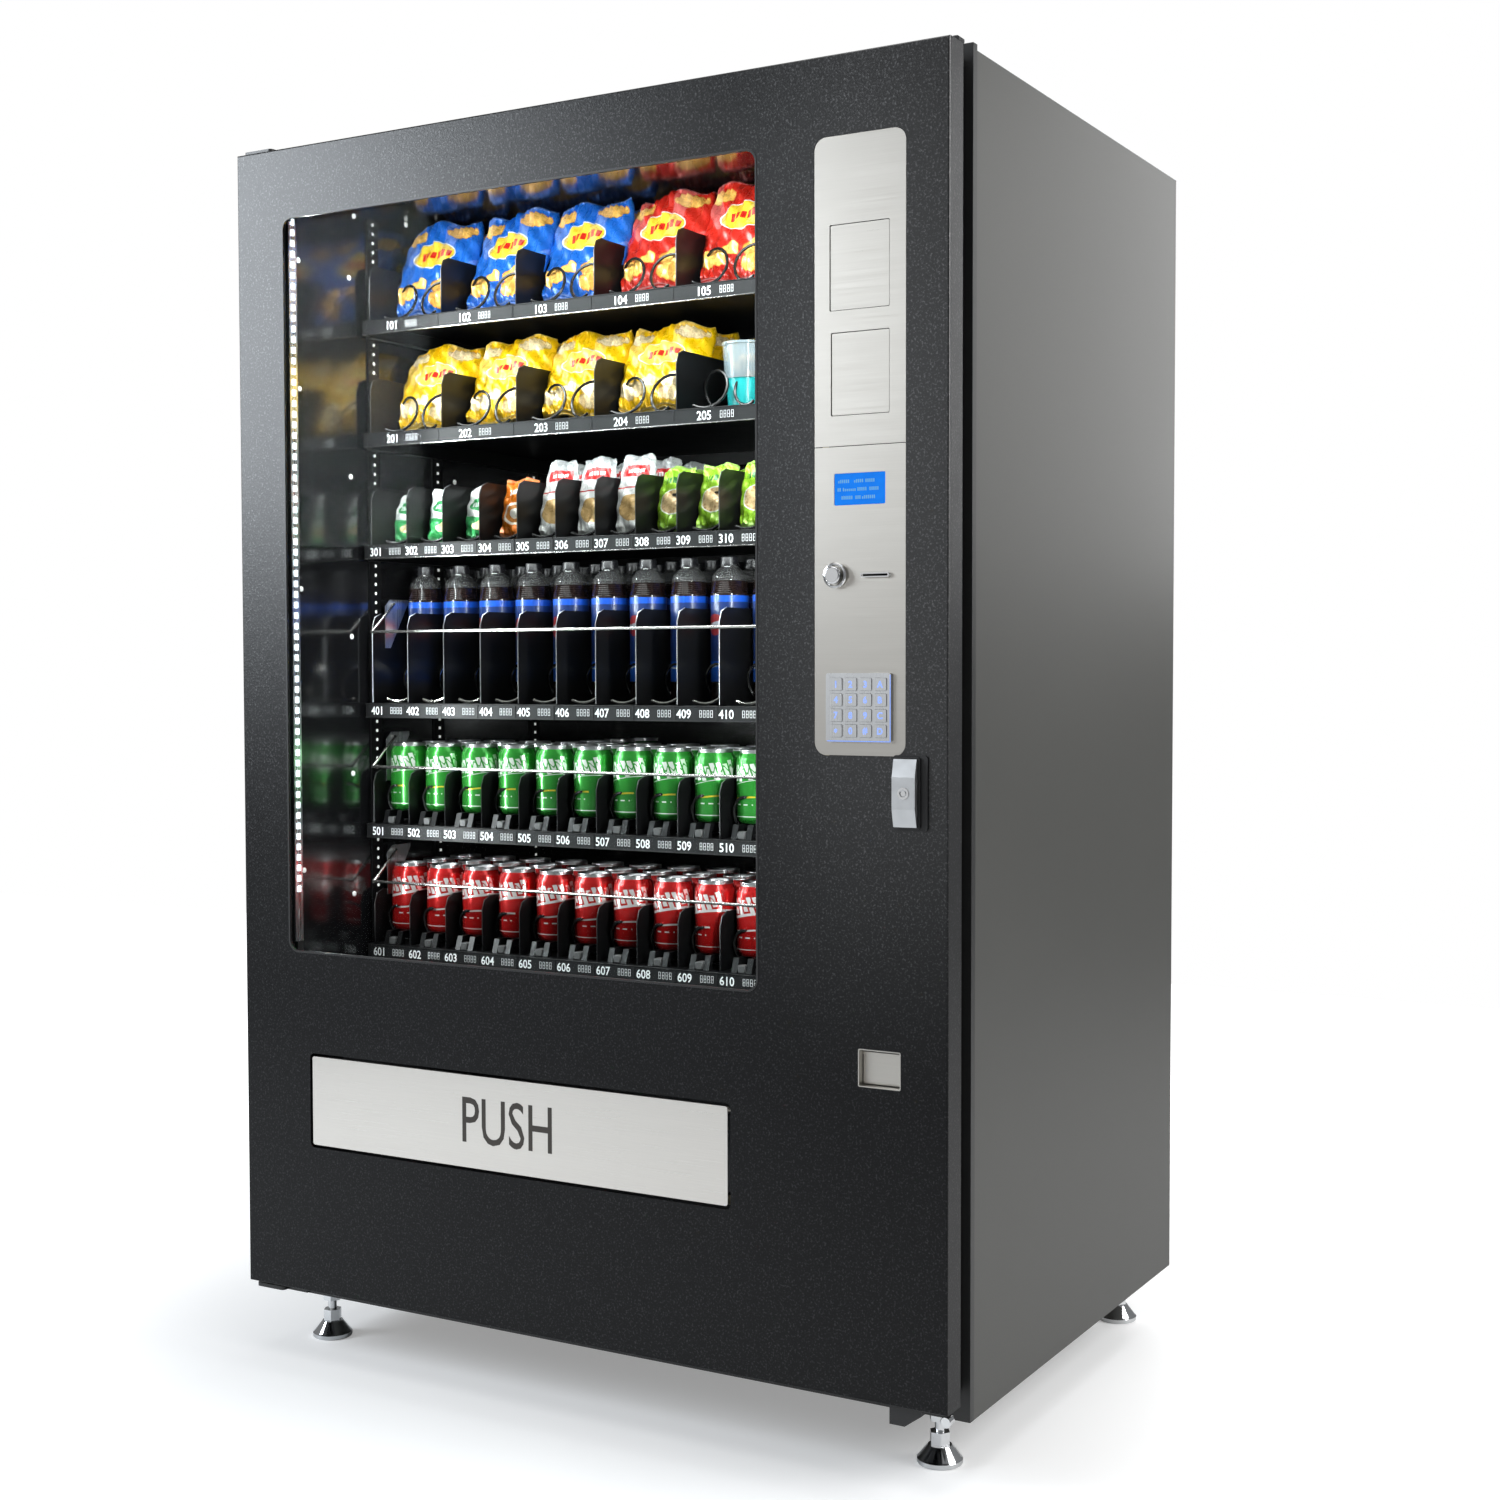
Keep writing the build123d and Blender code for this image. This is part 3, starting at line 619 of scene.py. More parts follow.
def can_print(name, base, accent, second, wave_width):
    """Printed can body. loc is (angle, 0, height), with the front at angle 0."""
    mat = Material(name)
    angle, _, z = mat.split(mat.loc())
    noise = mat.noise(mat.place(), scale=400.0, detail=2.0)
    # leaning upright strokes, each of its own height, with a thin wavy cut through them
    lean = angle * 3.1 + z * 0.035
    extra_height = (lean.op("FLOOR") * 2.3).sin() * 2.5
    strokes = ((z - 80.0 - angle * 4.0).abs().lt(extra_height + 11.5)
               * lean.mod(1.0).gt(0.28) * angle.near(1.3))
    cut = (z - 82.0 - angle * 4.0 - (lean * 5.0).sin() * 4.0).near(1.5)
    wave = (z - 62.0 - (angle * 1.0 + 0.5).sin() * 7.0).near(wave_width)
    low_line = (z - 41.0 - (angle * 3.0).sin() * 1.2).near(1.3) * angle.near(0.7)
    small_print = (angle * 14.0).sin().gt(-0.1) * (z - 30.0).near(1.0) * angle.near(0.5)
    foot_line = (z - 11.5).near(0.7)
    ground = mat.mix(z * 0.02, shade(base, 0.7), base)     # darker towards the foot
    mat.set(color=mat.paint(ground, (wave, accent), (strokes, accent), (strokes * cut, base),
                            (low_line, second), (small_print, accent), (foot_line, accent)),
            metallic=0.55, roughness=noise * 0.10 + 0.20, coat=0.35, coat_roughness=0.08)


def bottle_dark():
    mat = Material("bottle_dark")
    noise = mat.noise(mat.place(), scale=40.0, detail=3.0)
    mat.set(color=mat.mix(noise, (0.008, 0.005, 0.005), (0.022, 0.012, 0.010)),
            roughness=noise * 0.06 + 0.05, specular=0.9)


def bottle_label():
    """Navy label with a striped oval, a band near the top, one low down and a wavy line."""
    mat = Material("bottle_label")
    angle, _, z = mat.split(mat.loc())
    noise = mat.noise(mat.place(), scale=500.0, detail=2.0)
    navy = mat.mix(noise, (0.006, 0.022, 0.11), (0.010, 0.034, 0.16))
    # below 1 inside the oval; the last term keeps it off the far side
    oval = (((z - 122.0) / 17.0).square() + (angle.sin() / 0.62).square()
            + angle.op("COSINE").lt(0.0) * 4.0)
    stripe = oval.lt(1.0) * (z - 122.0 - angle.sin() * 6.0).near(4.5)
    wavy_line = (z - 56.0 - (angle * 2.0).sin() * 3.0).near(1.2)
    mat.set(color=mat.paint(navy, (oval.lt(1.0), (0.30, 0.025, 0.03)),
                            (stripe, (0.42, 0.45, 0.50)),
                            ((z - 163.0).near(5.0), (0.008, 0.085, 0.52)),
                            ((z - 48.0).near(16.0), (0.010, 0.10, 0.55)),
                            (wavy_line, (0.50, 0.56, 0.62))),
            roughness=noise * 0.1 + 0.26, coat=0.3)


def bottle_clear():
    mat = Material("bottle_clear")
    noise = mat.noise(mat.place(), scale=50.0, detail=3.0)
    mat.set(color=mat.mix(noise, grey(0.05), grey(0.12)), roughness=noise * 0.05 + 0.04,
            specular=1.0, coat=0.8, coat_roughness=0.03, alpha=0.7)


def cup_clear():
    mat = Material("cup_clear")
    noise = mat.noise(mat.place(), scale=60.0, detail=3.0)
    mat.set(color=(0.34, 0.42, 0.45), roughness=noise * 0.08 + 0.06, alpha=0.5, coat=0.6)


def floor_white():
    """Pale mottled floor that glows to the camera, more so away from the middle."""
    mat = Material("floor")
    noise = mat.noise(mat.place(), scale=3.0, detail=4.0)
    x, y, _ = mat.split(mat.place())
    away = (x.square() + y.square()).op("SQRT").soft(0.75, 1.9)
    seen = Value(mat.tree, add_node(mat.tree, "LightPath", output="Is Camera Ray"))
    mat.set(color=mat.mix(noise, grey(0.80), grey(0.84)), roughness=noise * 0.1 + 0.55,
            glow=grey(1), glow_strength=(away * 0.80 + 0.30) * seen)


liner_gloss()
tray_gloss()
price_strip()
window_glass()
display_blue()
can_print("can_green", base=(0.03, 0.30, 0.035), accent=(0.78, 0.82, 0.76),
          second=(0.80, 0.66, 0.04), wave_width=0.5)
can_print("can_red", base=(0.52, 0.012, 0.012), accent=(0.82, 0.80, 0.78),
          second=(0.86, 0.84, 0.82), wave_width=2.0)
bottle_dark()
bottle_label()
bottle_clear()
cup_clear()
floor_white()


# ---------------------------------------------------------- snack packaging --
class Film(Material):
    """Printed film. loc is the flat bag: x from its middle line, z from its foot, front at y < 0."""

    def __init__(self, name, height):
        super().__init__(name)
        self.height = height
        self.flat = self.loc()
        self.x, y, self.z = self.split(self.flat)
        self.front = y.lt(0.0)

    def gradient(self, base):
        return self.mix(self.z / self.height, shade(base, 0.72), shade(base, 1.15))

    def oval(self, x, z, half_width, half_height):
        """Below 1 inside the oval."""
        return ((self.x - x) / half_width).square() + ((self.z - z) / half_height).square()

    def strokes(self, z, half_height, half_width, pitch, gap, slant=0.0):
        """A row of upright blocks standing in for a name."""
        level = self.z - z
        if slant:
            level = level - self.x * slant
        return (level.near(half_height) * self.x.near(half_width)
                * (self.x / pitch).mod(1.0).gt(gap))

    def finish(self, color):
        """Silvery ribs on the sealed ends, creases and gloss."""
        crease = self.noise(self.place(), scale=70.0, detail=5.0, rough=0.65, distortion=1.2)
        fine = self.noise(self.place(), scale=900.0, detail=2.0)
        sealed = self.z.lt(8.0) + self.z.gt(self.height - 8.0)
        ribs = sealed * (self.z * 2.4).sin().gt(-0.2) * 0.22
        self.set(color=self.mix(ribs, color, (0.66, 0.67, 0.69)), metallic=0.18,
                 roughness=crease * 0.16 + 0.20, coat=0.25, coat_roughness=0.12)
        self.bump(crease + fine * 0.08, strength=0.45, distance=0.0008)


def crisp_bag(name, base, crisp, edge, badge):
    """Bag with crisps scattered about an oval badge."""
    film = Film(name, 172)
    color = film.gradient(base)
    # x, z, half width, half height of each crisp
    for spot in ((34, 46, 25, 17), (30, 26, 24, 14), (-52, 142, 22, 13),
                 (40, 146, 30, 13), (-16, 50, 15, 10), (-48, 38, 24, 15)):
        oval = film.oval(*spot)
        speck = film.noise(film.flat, scale=0.22, detail=4.0)
        fried = film.mix(speck.soft(0.45, 0.62), crisp, shade(crisp, 1.3))
        fried = film.mix(oval.soft(0.72, 1.0), fried, edge)
        color = film.mix(oval.lt(1.0) * film.front, color, fried)
    oval = film.oval(x=-4, z=102, half_width=38, half_height=22)
    name_strokes = film.strokes(z=102.0, half_height=6.0, half_width=27.0, pitch=9.0, gap=0.28,
                                slant=0.12)
    # pale rays on the upper part, fanning out from z = 20
    rays = (film.x.op("ARCTAN2", film.z - 20.0) * 9.0).sin().gt(0.55) * film.z.gt(86.0)
    film.finish(film.paint(color, (oval.lt(1.0) * film.front, badge),
                           ((oval - 1.10).near(0.07) * film.front, (0.88, 0.88, 0.86)),
                           (name_strokes * film.front, (0.62, 0.02, 0.012)),
                           (rays * 0.10 * film.front, grey(0.9))))


def white_green_pack():
    film = Film("pack_white_green", 132)
    ground = film.mix((film.z - 52.0 + film.x * 0.25).lt(0.0), (0.84, 0.86, 0.84),
                      (0.05, 0.42, 0.12))
    badge = film.oval(x=0, z=84, half_width=24, half_height=15)
    name_strokes = film.strokes(z=84.0, half_height=5.0, half_width=17.0, pitch=6.5, gap=0.3)
    biscuit = film.oval(x=6, z=32, half_width=18, half_height=13)
    film.finish(film.paint(ground, (badge.lt(1.0) * film.front, (0.03, 0.28, 0.08)),
                           (name_strokes * film.front, (0.85, 0.87, 0.85)),
                           (biscuit.lt(1.0) * film.front, (0.80, 0.66, 0.36))))


def orange_pack():
    film = Film("pack_orange", 132)
    oval = film.oval(x=0, z=52, half_width=25, half_height=26)
    name_strokes = film.strokes(z=100.0, half_height=6.0, half_width=22.0, pitch=7.5, gap=0.28)
    film.finish(film.paint(film.gradient((0.80, 0.20, 0.01)),
                           (oval.lt(1.0) * film.front, (0.84, 0.80, 0.70)),
                           ((oval - 0.42).near(0.20) * film.front, (0.55, 0.20, 0.03)),
                           (name_strokes * film.front, (0.86, 0.85, 0.80))))


def white_red_pack():
    film = Film("pack_white_red", 150)
    red = (0.58, 0.02, 0.02)
    ground = film.mix(film.z.gt(102.0), (0.84, 0.84, 0.82), (0.50, 0.52, 0.52))
    panel = (film.z - 116.0).near(11.0) * film.x.near(23.0)
    name_strokes = film.strokes(z=116.0, half_height=3.6, half_width=16.0, pitch=5.5, gap=0.3)
    oval = film.oval(x=0, z=46, half_width=22, half_height=25)
    film.finish(film.paint(ground, (panel, red),
                           (name_strokes * film.front, (0.86, 0.85, 0.83)),
                           (oval.lt(1.0) * film.front, (0.62, 0.40, 0.16)),
                           ((film.z - 84.0).near(1.2), red)))


def lime_pack():
    """Green pack with an oval of brown cells inside a pale ring."""
    film = Film("pack_lime", 132)
    oval = film.oval(x=0, z=58, half_width=23, half_height=24)
    cells = film.cells(film.flat, scale=0.14).soft(0.1, 0.6)
    filling = film.mix(cells, (0.46, 0.26, 0.10), (0.76, 0.55, 0.28))
    name_strokes = film.strokes(z=102.0, half_height=6.0, half_width=22.0, pitch=7.0, gap=0.3)
    film.finish(film.paint(film.gradient((0.30, 0.58, 0.03)),
                           (oval.lt(1.0) * film.front, filling),
                           ((oval - 1.10).near(0.10) * film.front, (0.85, 0.88, 0.80)),
                           (name_strokes * film.front, (0.03, 0.18, 0.03))))


for name, base in (("bag_blue", (0.012, 0.13, 0.55)), ("bag_red", (0.56, 0.022, 0.012))):
    crisp_bag(name, base, crisp=(0.80, 0.45, 0.10), edge=(0.60, 0.24, 0.03),
              badge=(0.88, 0.60, 0.04))
crisp_bag("bag_yellow", (0.82, 0.50, 0.004), crisp=(0.78, 0.62, 0.36), edge=(0.45, 0.28, 0.10),
          badge=(0.88, 0.66, 0.10))
white_green_pack()
orange_pack()
white_red_pack()
lime_pack()

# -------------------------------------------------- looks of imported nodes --
NODE_LOOKS = {
    "cabinet_coat": ["cabinet_shell", "rear_grille"],
    "frame_coat": ["front_frame", "hinge_brackets", "window_trim"],
    "foam": ["insulation"],
    "liner_gloss": ["inner_liner"],
    "tray_gloss": ["tray_supports", "door_core", *(f"tray_{tray}" for tray in TRAYS)],
    "black_abs": ["delivery_bin", "foot_sockets", "bill_validator", "coin_mech", "lock_housing"],
    "compressor_enamel": ["compressor"],
    "galvanised": ["condenser", "evaporator", "control_box", "lock_handle"],
    "chrome": ["levelling_feet", "foot_nuts", "coin_return_button", "key_cylinder"],
    "door_coat": ["door_skin"],
    "gasket_rubber": ["door_gasket"],
    "brass": ["hinge_bushes"],
    "window_glass": ["window_glass"],
    "anodised_alu": ["led_strip"],
    "stainless_h": ["upper_panel", "blank_covers", "lower_panel", "coin_cup", "coin_flap"],
    "display_blue": ["display"],
    "satin_steel": ["keypad_body", "keypad_keys"],
    "stainless_flap": ["delivery_flap"],
    "motor_white": [f"motors_{tray}" for tray in TRAYS],
    "wire_black": ["vend_spiral", *(f"spirals_{tray}" for tray in TRAYS)],
    "bright_rod": [f"guard_rod_{tray}" for tray in (4, 5, 6)],
}
for look, nodes in NODE_LOOKS.items():
    for node in nodes:
        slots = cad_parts[node].data.materials
        slots.clear()
        slots.append(looks[look])

# ----------------------------------------------------------------- spirals --
COIL_RADIUS = 31.0
COIL_FRONT = 264.0
COIL_RISE = 34                       # coil axis above the deck
COIL_TURNS = 7
TURN_STEPS = 20
WIRE_RADIUS = 2.5
WIRE_SIDES = 7
TIP_PROFILE = [(0, -WIRE_RADIUS), (WIRE_RADIUS * 0.8, -WIRE_RADIUS * 0.6), (WIRE_RADIUS, 0),
               (WIRE_RADIUS * 0.8, WIRE_RADIUS * 0.6), (0, WIRE_RADIUS)]     # radius, height
HUB_PROFILE = [(0, -9), (6.5, -9), (8, -7.5), (8, 7.5), (6.5, 9), (0, 9)]    # radius, height


def coil_start(tray, lane):
    """Start angle in degrees and hand of a spiral."""
    if tray >= 5:
        return 0.0, -1
    return (150.0, 1) if (tray <= 2 and lane % 2) else (-150.0, -1)


def add_coil(mesh, tray, lane):
    """Spiral with a rounded tip in front and a leg to its hub; bright-tipped in tray 4."""
    start, hand = coil_start(tray, lane)
    x, z = lane_centre(lane), deck_z[tray] + COIL_RISE
    path = []
    for k in range(COIL_TURNS * TURN_STEPS + 1):
        angle = math.radians(start) + hand * 2 * math.pi * k / TURN_STEPS
        path.append((x + COIL_RADIUS * math.sin(angle), COIL_FRONT + LANE_PITCH * k / TURN_STEPS,
                     z + COIL_RADIUS * math.cos(angle)))
    wire = tube(path, WIRE_RADIUS, WIRE_SIDES)
    bright = tray == 4
    bright_faces = 0.75 * TURN_STEPS * WIRE_SIDES if bright else 0     # three quarters of a turn
    mesh.add(wire, [int(k < bright_faces) for k in range(len(wire[1]))])
    mesh.add(revolve(TIP_PROFILE, 8, path[0]), int(bright))
    tip = path[-1]
    hub = (x, tip[1], z)
    middle = tuple(outer + (inner - outer) * 0.5 for outer, inner in zip(tip, hub))
    mesh.add(tube([tip, middle, hub], 2.3))
    mesh.add(revolve(HUB_PROFILE, 20, hub, "-y"))


for tray in TRAYS:
    mesh = Mesh()
    for lane in range(LANES):
        if (tray, lane) != (VEND_TRAY, VEND_LANE):
            add_coil(mesh, tray, lane)
    coils = mesh.build(f"coils_{tray}", ["wire_black", f"coil_tip_{tray}"], f"tray_{tray}", 40)
    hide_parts(f"spirals_{tray}")
mesh = Mesh()
add_coil(mesh, VEND_TRAY, VEND_LANE)
coil = mesh.build("coil_vend", ["wire_black"], "vend_spiral", 40)
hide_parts("vend_spiral")


# -------------------------------------------------------------------- cans --
def add_turned(mesh, profile, segments, band_slots, x, y, z, turn):
    """Turned product with loc (angle, 0, height), turned about its own axis in radians."""
    verts, faces = revolve(profile, segments)
    angle = np.arctan2(verts[:, 1], verts[:, 0])
    loc = np.stack([angle, angle * 0, verts[:, 2]], 1)
    cosine, sine = math.cos(turn), math.sin(turn)
    placed = np.stack([x + verts[:, 0] * cosine - verts[:, 1] * sine,
                       y + verts[:, 0] * sine + verts[:, 1] * cosine, z + verts[:, 2]], 1)
    mesh.add((placed, faces), np.repeat(band_slots, segments), loc)


CAN_PROFILE = [                      # radius, height
    (0, 5), (20, 5), (24.5, 0.4), (26, 0), (27.5, 0.6), (32, 7.5), (33, 10), (33, 60), (33, 98),
    (31.5, 103.5), (27.8, 109.5), (27.2, 111.5), (27.9, 113.6), (27.6, 114.8), (26.6, 115),
    (25.9, 114.2), (25.2, 109.8), (24, 109.4), (10, 110), (0, 110)]
# slots: 0 printed body, 1 bare foot and lid, 2 tab
CAN_SLOTS = [int(band < 4 or band >= 10) for band in range(len(CAN_PROFILE) - 1)]
CAN_FRONT = 302.4                    # axis of the first can
CAN_RISE = 22.6                      # foot above the deck


def add_can(mesh, tray, x, row, turn):
    y, z = CAN_FRONT + LANE_PITCH * row, deck_z[tray] + CAN_RISE
    add_turned(mesh, CAN_PROFILE, 28, CAN_SLOTS, x, y, z, turn)
    # oval pull tab, 2 mm off the can's axis and 0.7 radians round from the print
    turn += 0.7
    outline = []
    for k in range(12):
        angle = 2 * math.pi * k / 12
        along, across = 11.5 * math.cos(angle) - 2, 6.5 * math.sin(angle)
        outline.append((x + along * math.cos(turn) - across * math.sin(turn),
                        y + along * math.sin(turn) + across * math.cos(turn)))
    bottom, top = [[(*point, z + height) for point in outline] for height in (110.3, 111.6)]
    mesh.add(loft(bottom, top), 2)


for tray, look in ((5, "can_green"), (6, "can_red")):
    mesh = Mesh()
    for lane in range(LANES):
        if (tray, lane) == (VEND_TRAY, VEND_LANE):
            continue
        for row in range(3):
            x = lane_centre(lane) + rng.uniform(-0.6, 0.6)
            add_can(mesh, tray, x, row, rng.uniform(-0.5, 0.5) + FACING_FRONT)
    mesh.build(f"cans_{tray}", [look, "can_lid", "can_tab"], f"tray_{tray}", 40)
mesh = Mesh()
for row in range(6):
    add_can(mesh, VEND_TRAY, lane_centre(VEND_LANE), row, rng.uniform(-0.4, 0.4) + FACING_FRONT)
cans = mesh.build("cans_vend", ["can_green", "can_lid", "can_tab"], "vend_cans", 40)
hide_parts("vend_cans")

# grey block at the front of each can lane
for tray in (5, 6):
    mesh = Mesh()
    for lane in range(LANES):
        x, z = lane_centre(lane), deck_z[tray]
        mesh.add(box((x - 6.6, x + 6.6), (249.4, 266.0), (z + 0.4, z + 12.5), 1.4))
    mesh.build(f"ramp_caps_{tray}", ["ramp_grey"], f"tray_{tray}", 40)

# ----------------------------------------------------------------- bottles --
SHOULDER_RIDGES = [point for k in range(7)
                   for point in ((30.4 - 0.25 * k, 171 + 3.2 * k),
                                 (29.2 - 0.25 * k, 172.6 + 3.2 * k))]
BOTTLE_PROFILE = [                   # radius, height
    (0, 5), (16, 4), (22, 0), (28.0, 1.5), (30.0, 7), (30.4, 14), (28.6, 22), (30.4, 29),
    (30.4, 31), (30.5, 31.5), (30.5, 168.5), (30.3, 169.5), *SHOULDER_RIDGES,
    (28.4, 193.5), (27.0, 196.5), (27.6, 198.5), (25.0, 203.5), (23.2, 205), (20.5, 209),
    (15.5, 212.5), (13.4, 214), (13.2, 215.5), (16.2, 216), (16.2, 217.5), (14.6, 218),
    (14.4, 229), (13.2, 230.6), (0, 230.8)]


def bottle_slot(height):
    """0 dark body, 1 label, 2 clear neck, 3 cap."""
    if 31.2 < height < 168.8:
        return 1
    if height > 215.8:
        return 3
    return 2 if height > 192 else 0


bottle_slots = [bottle_slot((low[1] + high[1]) / 2)
                for low, high in zip(BOTTLE_PROFILE, BOTTLE_PROFILE[1:])]
mesh = Mesh()
for lane in range(LANES):
    for row in (1, 2, 3):
        add_turned(mesh, BOTTLE_PROFILE, 26, bottle_slots,
                   x=lane_centre(lane) + rng.uniform(-0.8, 0.8), y=272.5 + LANE_PITCH * row,
                   z=deck_z[4] + 5.5, turn=rng.uniform(-0.6, 0.6) + FACING_FRONT)
mesh.build("bottles_4", ["bottle_dark", "bottle_label", "bottle_clear", "bottle_cap"], "tray_4",
           30)


# -------------------------------------------------------------------- bags --
def flat_bag(width, height, columns, rows, crimp):
    """Barely open tube of film, sewn shut at both ends. Returns verts, faces, vertex rings."""
    verts, faces, rings = [], [], []
    for row in range(rows + 1):
        z = height * row / rows
        sealed = z < crimp or z > height - crimp
        ring = []
        for side, steps in ((-1, range(columns + 1)), (1, range(columns - 1, 0, -1))):
            for i in steps:
                opening = 0.25 if sealed else 0.25 + 2.2 * math.sin(math.pi * i / columns)
                ring.append(len(verts))
                verts.append((-width / 2 + width * i / columns, side * opening, z))
        rings.append(ring)
    around = len(rings[0])
    for low, high in zip(rings, rings[1:]):
        for k in range(around):
            after = (k + 1) % around
            faces.append([low[k], low[after], high[after], high[k]])
    for ring, turn in ((rings[0], -1), (rings[-1], 1)):
        for i in range(columns):
            strip = [ring[i], ring[i + 1], ring[(around - i - 1) % around],
                     ring[(around - i) % around]]
            faces.append(list(dict.fromkeys(strip))[::turn])     # triangles at the two sides
    return verts, faces, rings


def puff_by_cloth(bag, rest, width, height, crimp):
    """Blow the bag up as cloth with its seals pinned."""
    frames = 20
    group = bag.vertex_groups.new(name="seal")
    pinned = [i for i, vertex in enumerate(rest.tolist())
              if vertex[2] <= crimp * 0.6 or vertex[2] >= height - crimp * 0.6]
    group.add(pinned, 1.0, "REPLACE")
    cloth = bag.modifiers.new("cloth", "CLOTH")
    for key, value in dict(quality=6, mass=0.15, tension_stiffness=30, compression_stiffness=30,
                           shear_stiffness=12, bending_stiffness=0.15, use_pressure=True,
                           uniform_pressure_force=4.0, vertex_group_mass="seal",
                           air_damping=3).items():
        setattr(cloth.settings, key, value)
    cloth.settings.effector_weights.gravity = 0
    scene = bpy.context.scene
    cloth.point_cache.frame_start, cloth.point_cache.frame_end = 1, frames
    for step in range(1, frames + 1):
        scene.frame_set(step)
    evaluated = bag.evaluated_get(bpy.context.evaluated_depsgraph_get())
    puffed = np.array([tuple(vertex.co) for vertex in evaluated.data.vertices], float) * 1000
    bag.modifiers.remove(cloth)
    scene.frame_set(1)
    # no point may travel further than this
    reach = width * 0.30
    travel = puffed - rest
    length = np.linalg.norm(travel, axis=1)
    return rest + travel * np.minimum(1, reach / np.maximum(length, 1e-6))[:, None]


def pillow_bag(name, width, height, columns, rows, crimp):
    """Puffed, crumpled bag about x = 0, foot at z = 0. Returns verts, faces, flat verts."""
    verts, faces, rings = flat_bag(width, height, columns, rows, crimp)
    data = bpy.data.meshes.new(name)
    data.from_pydata([tuple(value / 1000.0 for value in vertex) for vertex in verts], [], faces)
    bag = bpy.data.objects.new(name, data)
    bpy.context.scene.collection.objects.link(bag)
    rest = np.array(verts, float)
    puffed = puff_by_cloth(bag, rest, width, height, crimp)
    for ring in (rings[0], rings[-1]):           # saw-tooth film edges
        for k, i in enumerate(ring):
            puffed[i, 2] += 0.9 if k % 2 else -0.9
    data.vertices.foreach_set("co", (puffed / 1000).ravel())
    attribute = data.attributes.new("rest", "FLOAT_VECTOR", "POINT")
    attribute.data.foreach_set("vector", rest.astype(np.float32).ravel())
    data.update()
    subdivision = bag.modifiers.new("sub", "SUBSURF")
    subdivision.levels = subdivision.render_levels = 1
    graph = bpy.context.evaluated_depsgraph_get()
    smooth = bpy.data.meshes.new_from_object(bag.evaluated_get(graph))
    verts = np.array([tuple(vertex.co) for vertex in smooth.vertices], float) * 1000
    flat = np.zeros(len(verts) * 3, np.float32)
    smooth.attributes["rest"].data.foreach_get("vector", flat)
    flat = flat.reshape(-1, 3).astype(float)
    faces = [list(polygon.vertices) for polygon in smooth.polygons]
    bpy.data.objects.remove(bag)
    bpy.data.meshes.remove(smooth)
    # ribs on the seals; slanting folds elsewhere, with ridges growing towards the ends
    x, y, z = flat.T
    fold = np.sin(x * 0.23 + z * 0.07) * np.sin(z * 0.11 - x * 0.05)
    ridge = np.sin(x * 0.62 + np.sin(z * 0.05) * 2.0)
    near_end = np.clip(np.abs(z / height - 0.5) * 2, 0, 1) ** 2
    sealed = (z < crimp) | (z > height - crimp)
    verts[:, 1] += np.where(sealed, 0.55 * np.sin(z * 2 * np.pi / 2.6),
                            (fold * 0.9 + ridge * near_end * 1.0) * np.sign(y + 1e-6))
    return verts, faces, flat


BAG = pillow_bag("t_bag", width=150, height=172, columns=26, rows=26, crimp=9)
PACK = pillow_bag("t_pack", width=66, height=132, columns=12, rows=26, crimp=7)
TALL_PACK = pillow_bag("t_tall", width=64, height=150, columns=12, rows=28, crimp=8)


def add_bag(mesh, pillow, x, y, z, slot, lean, yaw, wide, high, thick, seed, full):
    """Stand a bag on its foot, leaning back.

    lean and yaw are degrees, wide and high scale the pillow, thick is its depth in
    millimetres, and full is the share by which the belly widens.
    """
    verts, faces, flat = pillow
    verts = verts * np.array([wide, 1.0, high])
    # let the belly out, gather the sealed ends and round the sides
    rise = np.clip(flat[:, 2] / flat[:, 2].max(), 0, 1)
    near_end = np.abs(2 * rise - 1) ** 3
    verts[:, 0] *= (1 + full * np.sin(np.pi * rise)) * (1 - 0.055 * near_end)
    side = flat[:, 0] / np.abs(flat[:, 0]).max()
    verts[:, 2] -= 2.4 * near_end * side * side * np.sign(2 * rise - 1)
    verts[:, 1] += (2.2 * near_end * np.sin(side * 4.2 + seed)
                    + 0.7 * near_end * np.sin(side * 9.0 + 2 * seed))
    verts[:, 1] *= thick / (verts[:, 1].max() - verts[:, 1].min())
    # each one twists and sags a little its own way
    draw = np.random.RandomState(seed).uniform
    twist = draw(-0.06, 0.06) * (verts[:, 2] / verts[:, 2].max())
    verts[:, 0], verts[:, 1] = (verts[:, 0] * np.cos(twist) - verts[:, 1] * np.sin(twist),
                                verts[:, 0] * np.sin(twist) + verts[:, 1] * np.cos(twist))
    verts[:, 1] += (draw(0.6, 1.6) * np.sin(verts[:, 2] * 0.045 + draw(0, 6))
                    + draw(-1, 1) * np.sin(verts[:, 0] * 0.06 + draw(0, 6)))
    lean, yaw = math.radians(lean), math.radians(yaw)
    verts[:, 2] -= verts[:, 2].min()
    back = verts[:, 1] * math.cos(lean) + verts[:, 2] * math.sin(lean)
    up = -verts[:, 1] * math.sin(lean) + verts[:, 2] * math.cos(lean)
    across = verts[:, 0] * math.cos(yaw) - back * math.sin(yaw)
    back = verts[:, 0] * math.sin(yaw) + back * math.cos(yaw)
    up -= up.min()
    mesh.add((np.stack([x + across, y + back, z + up], 1), faces), slot, flat)


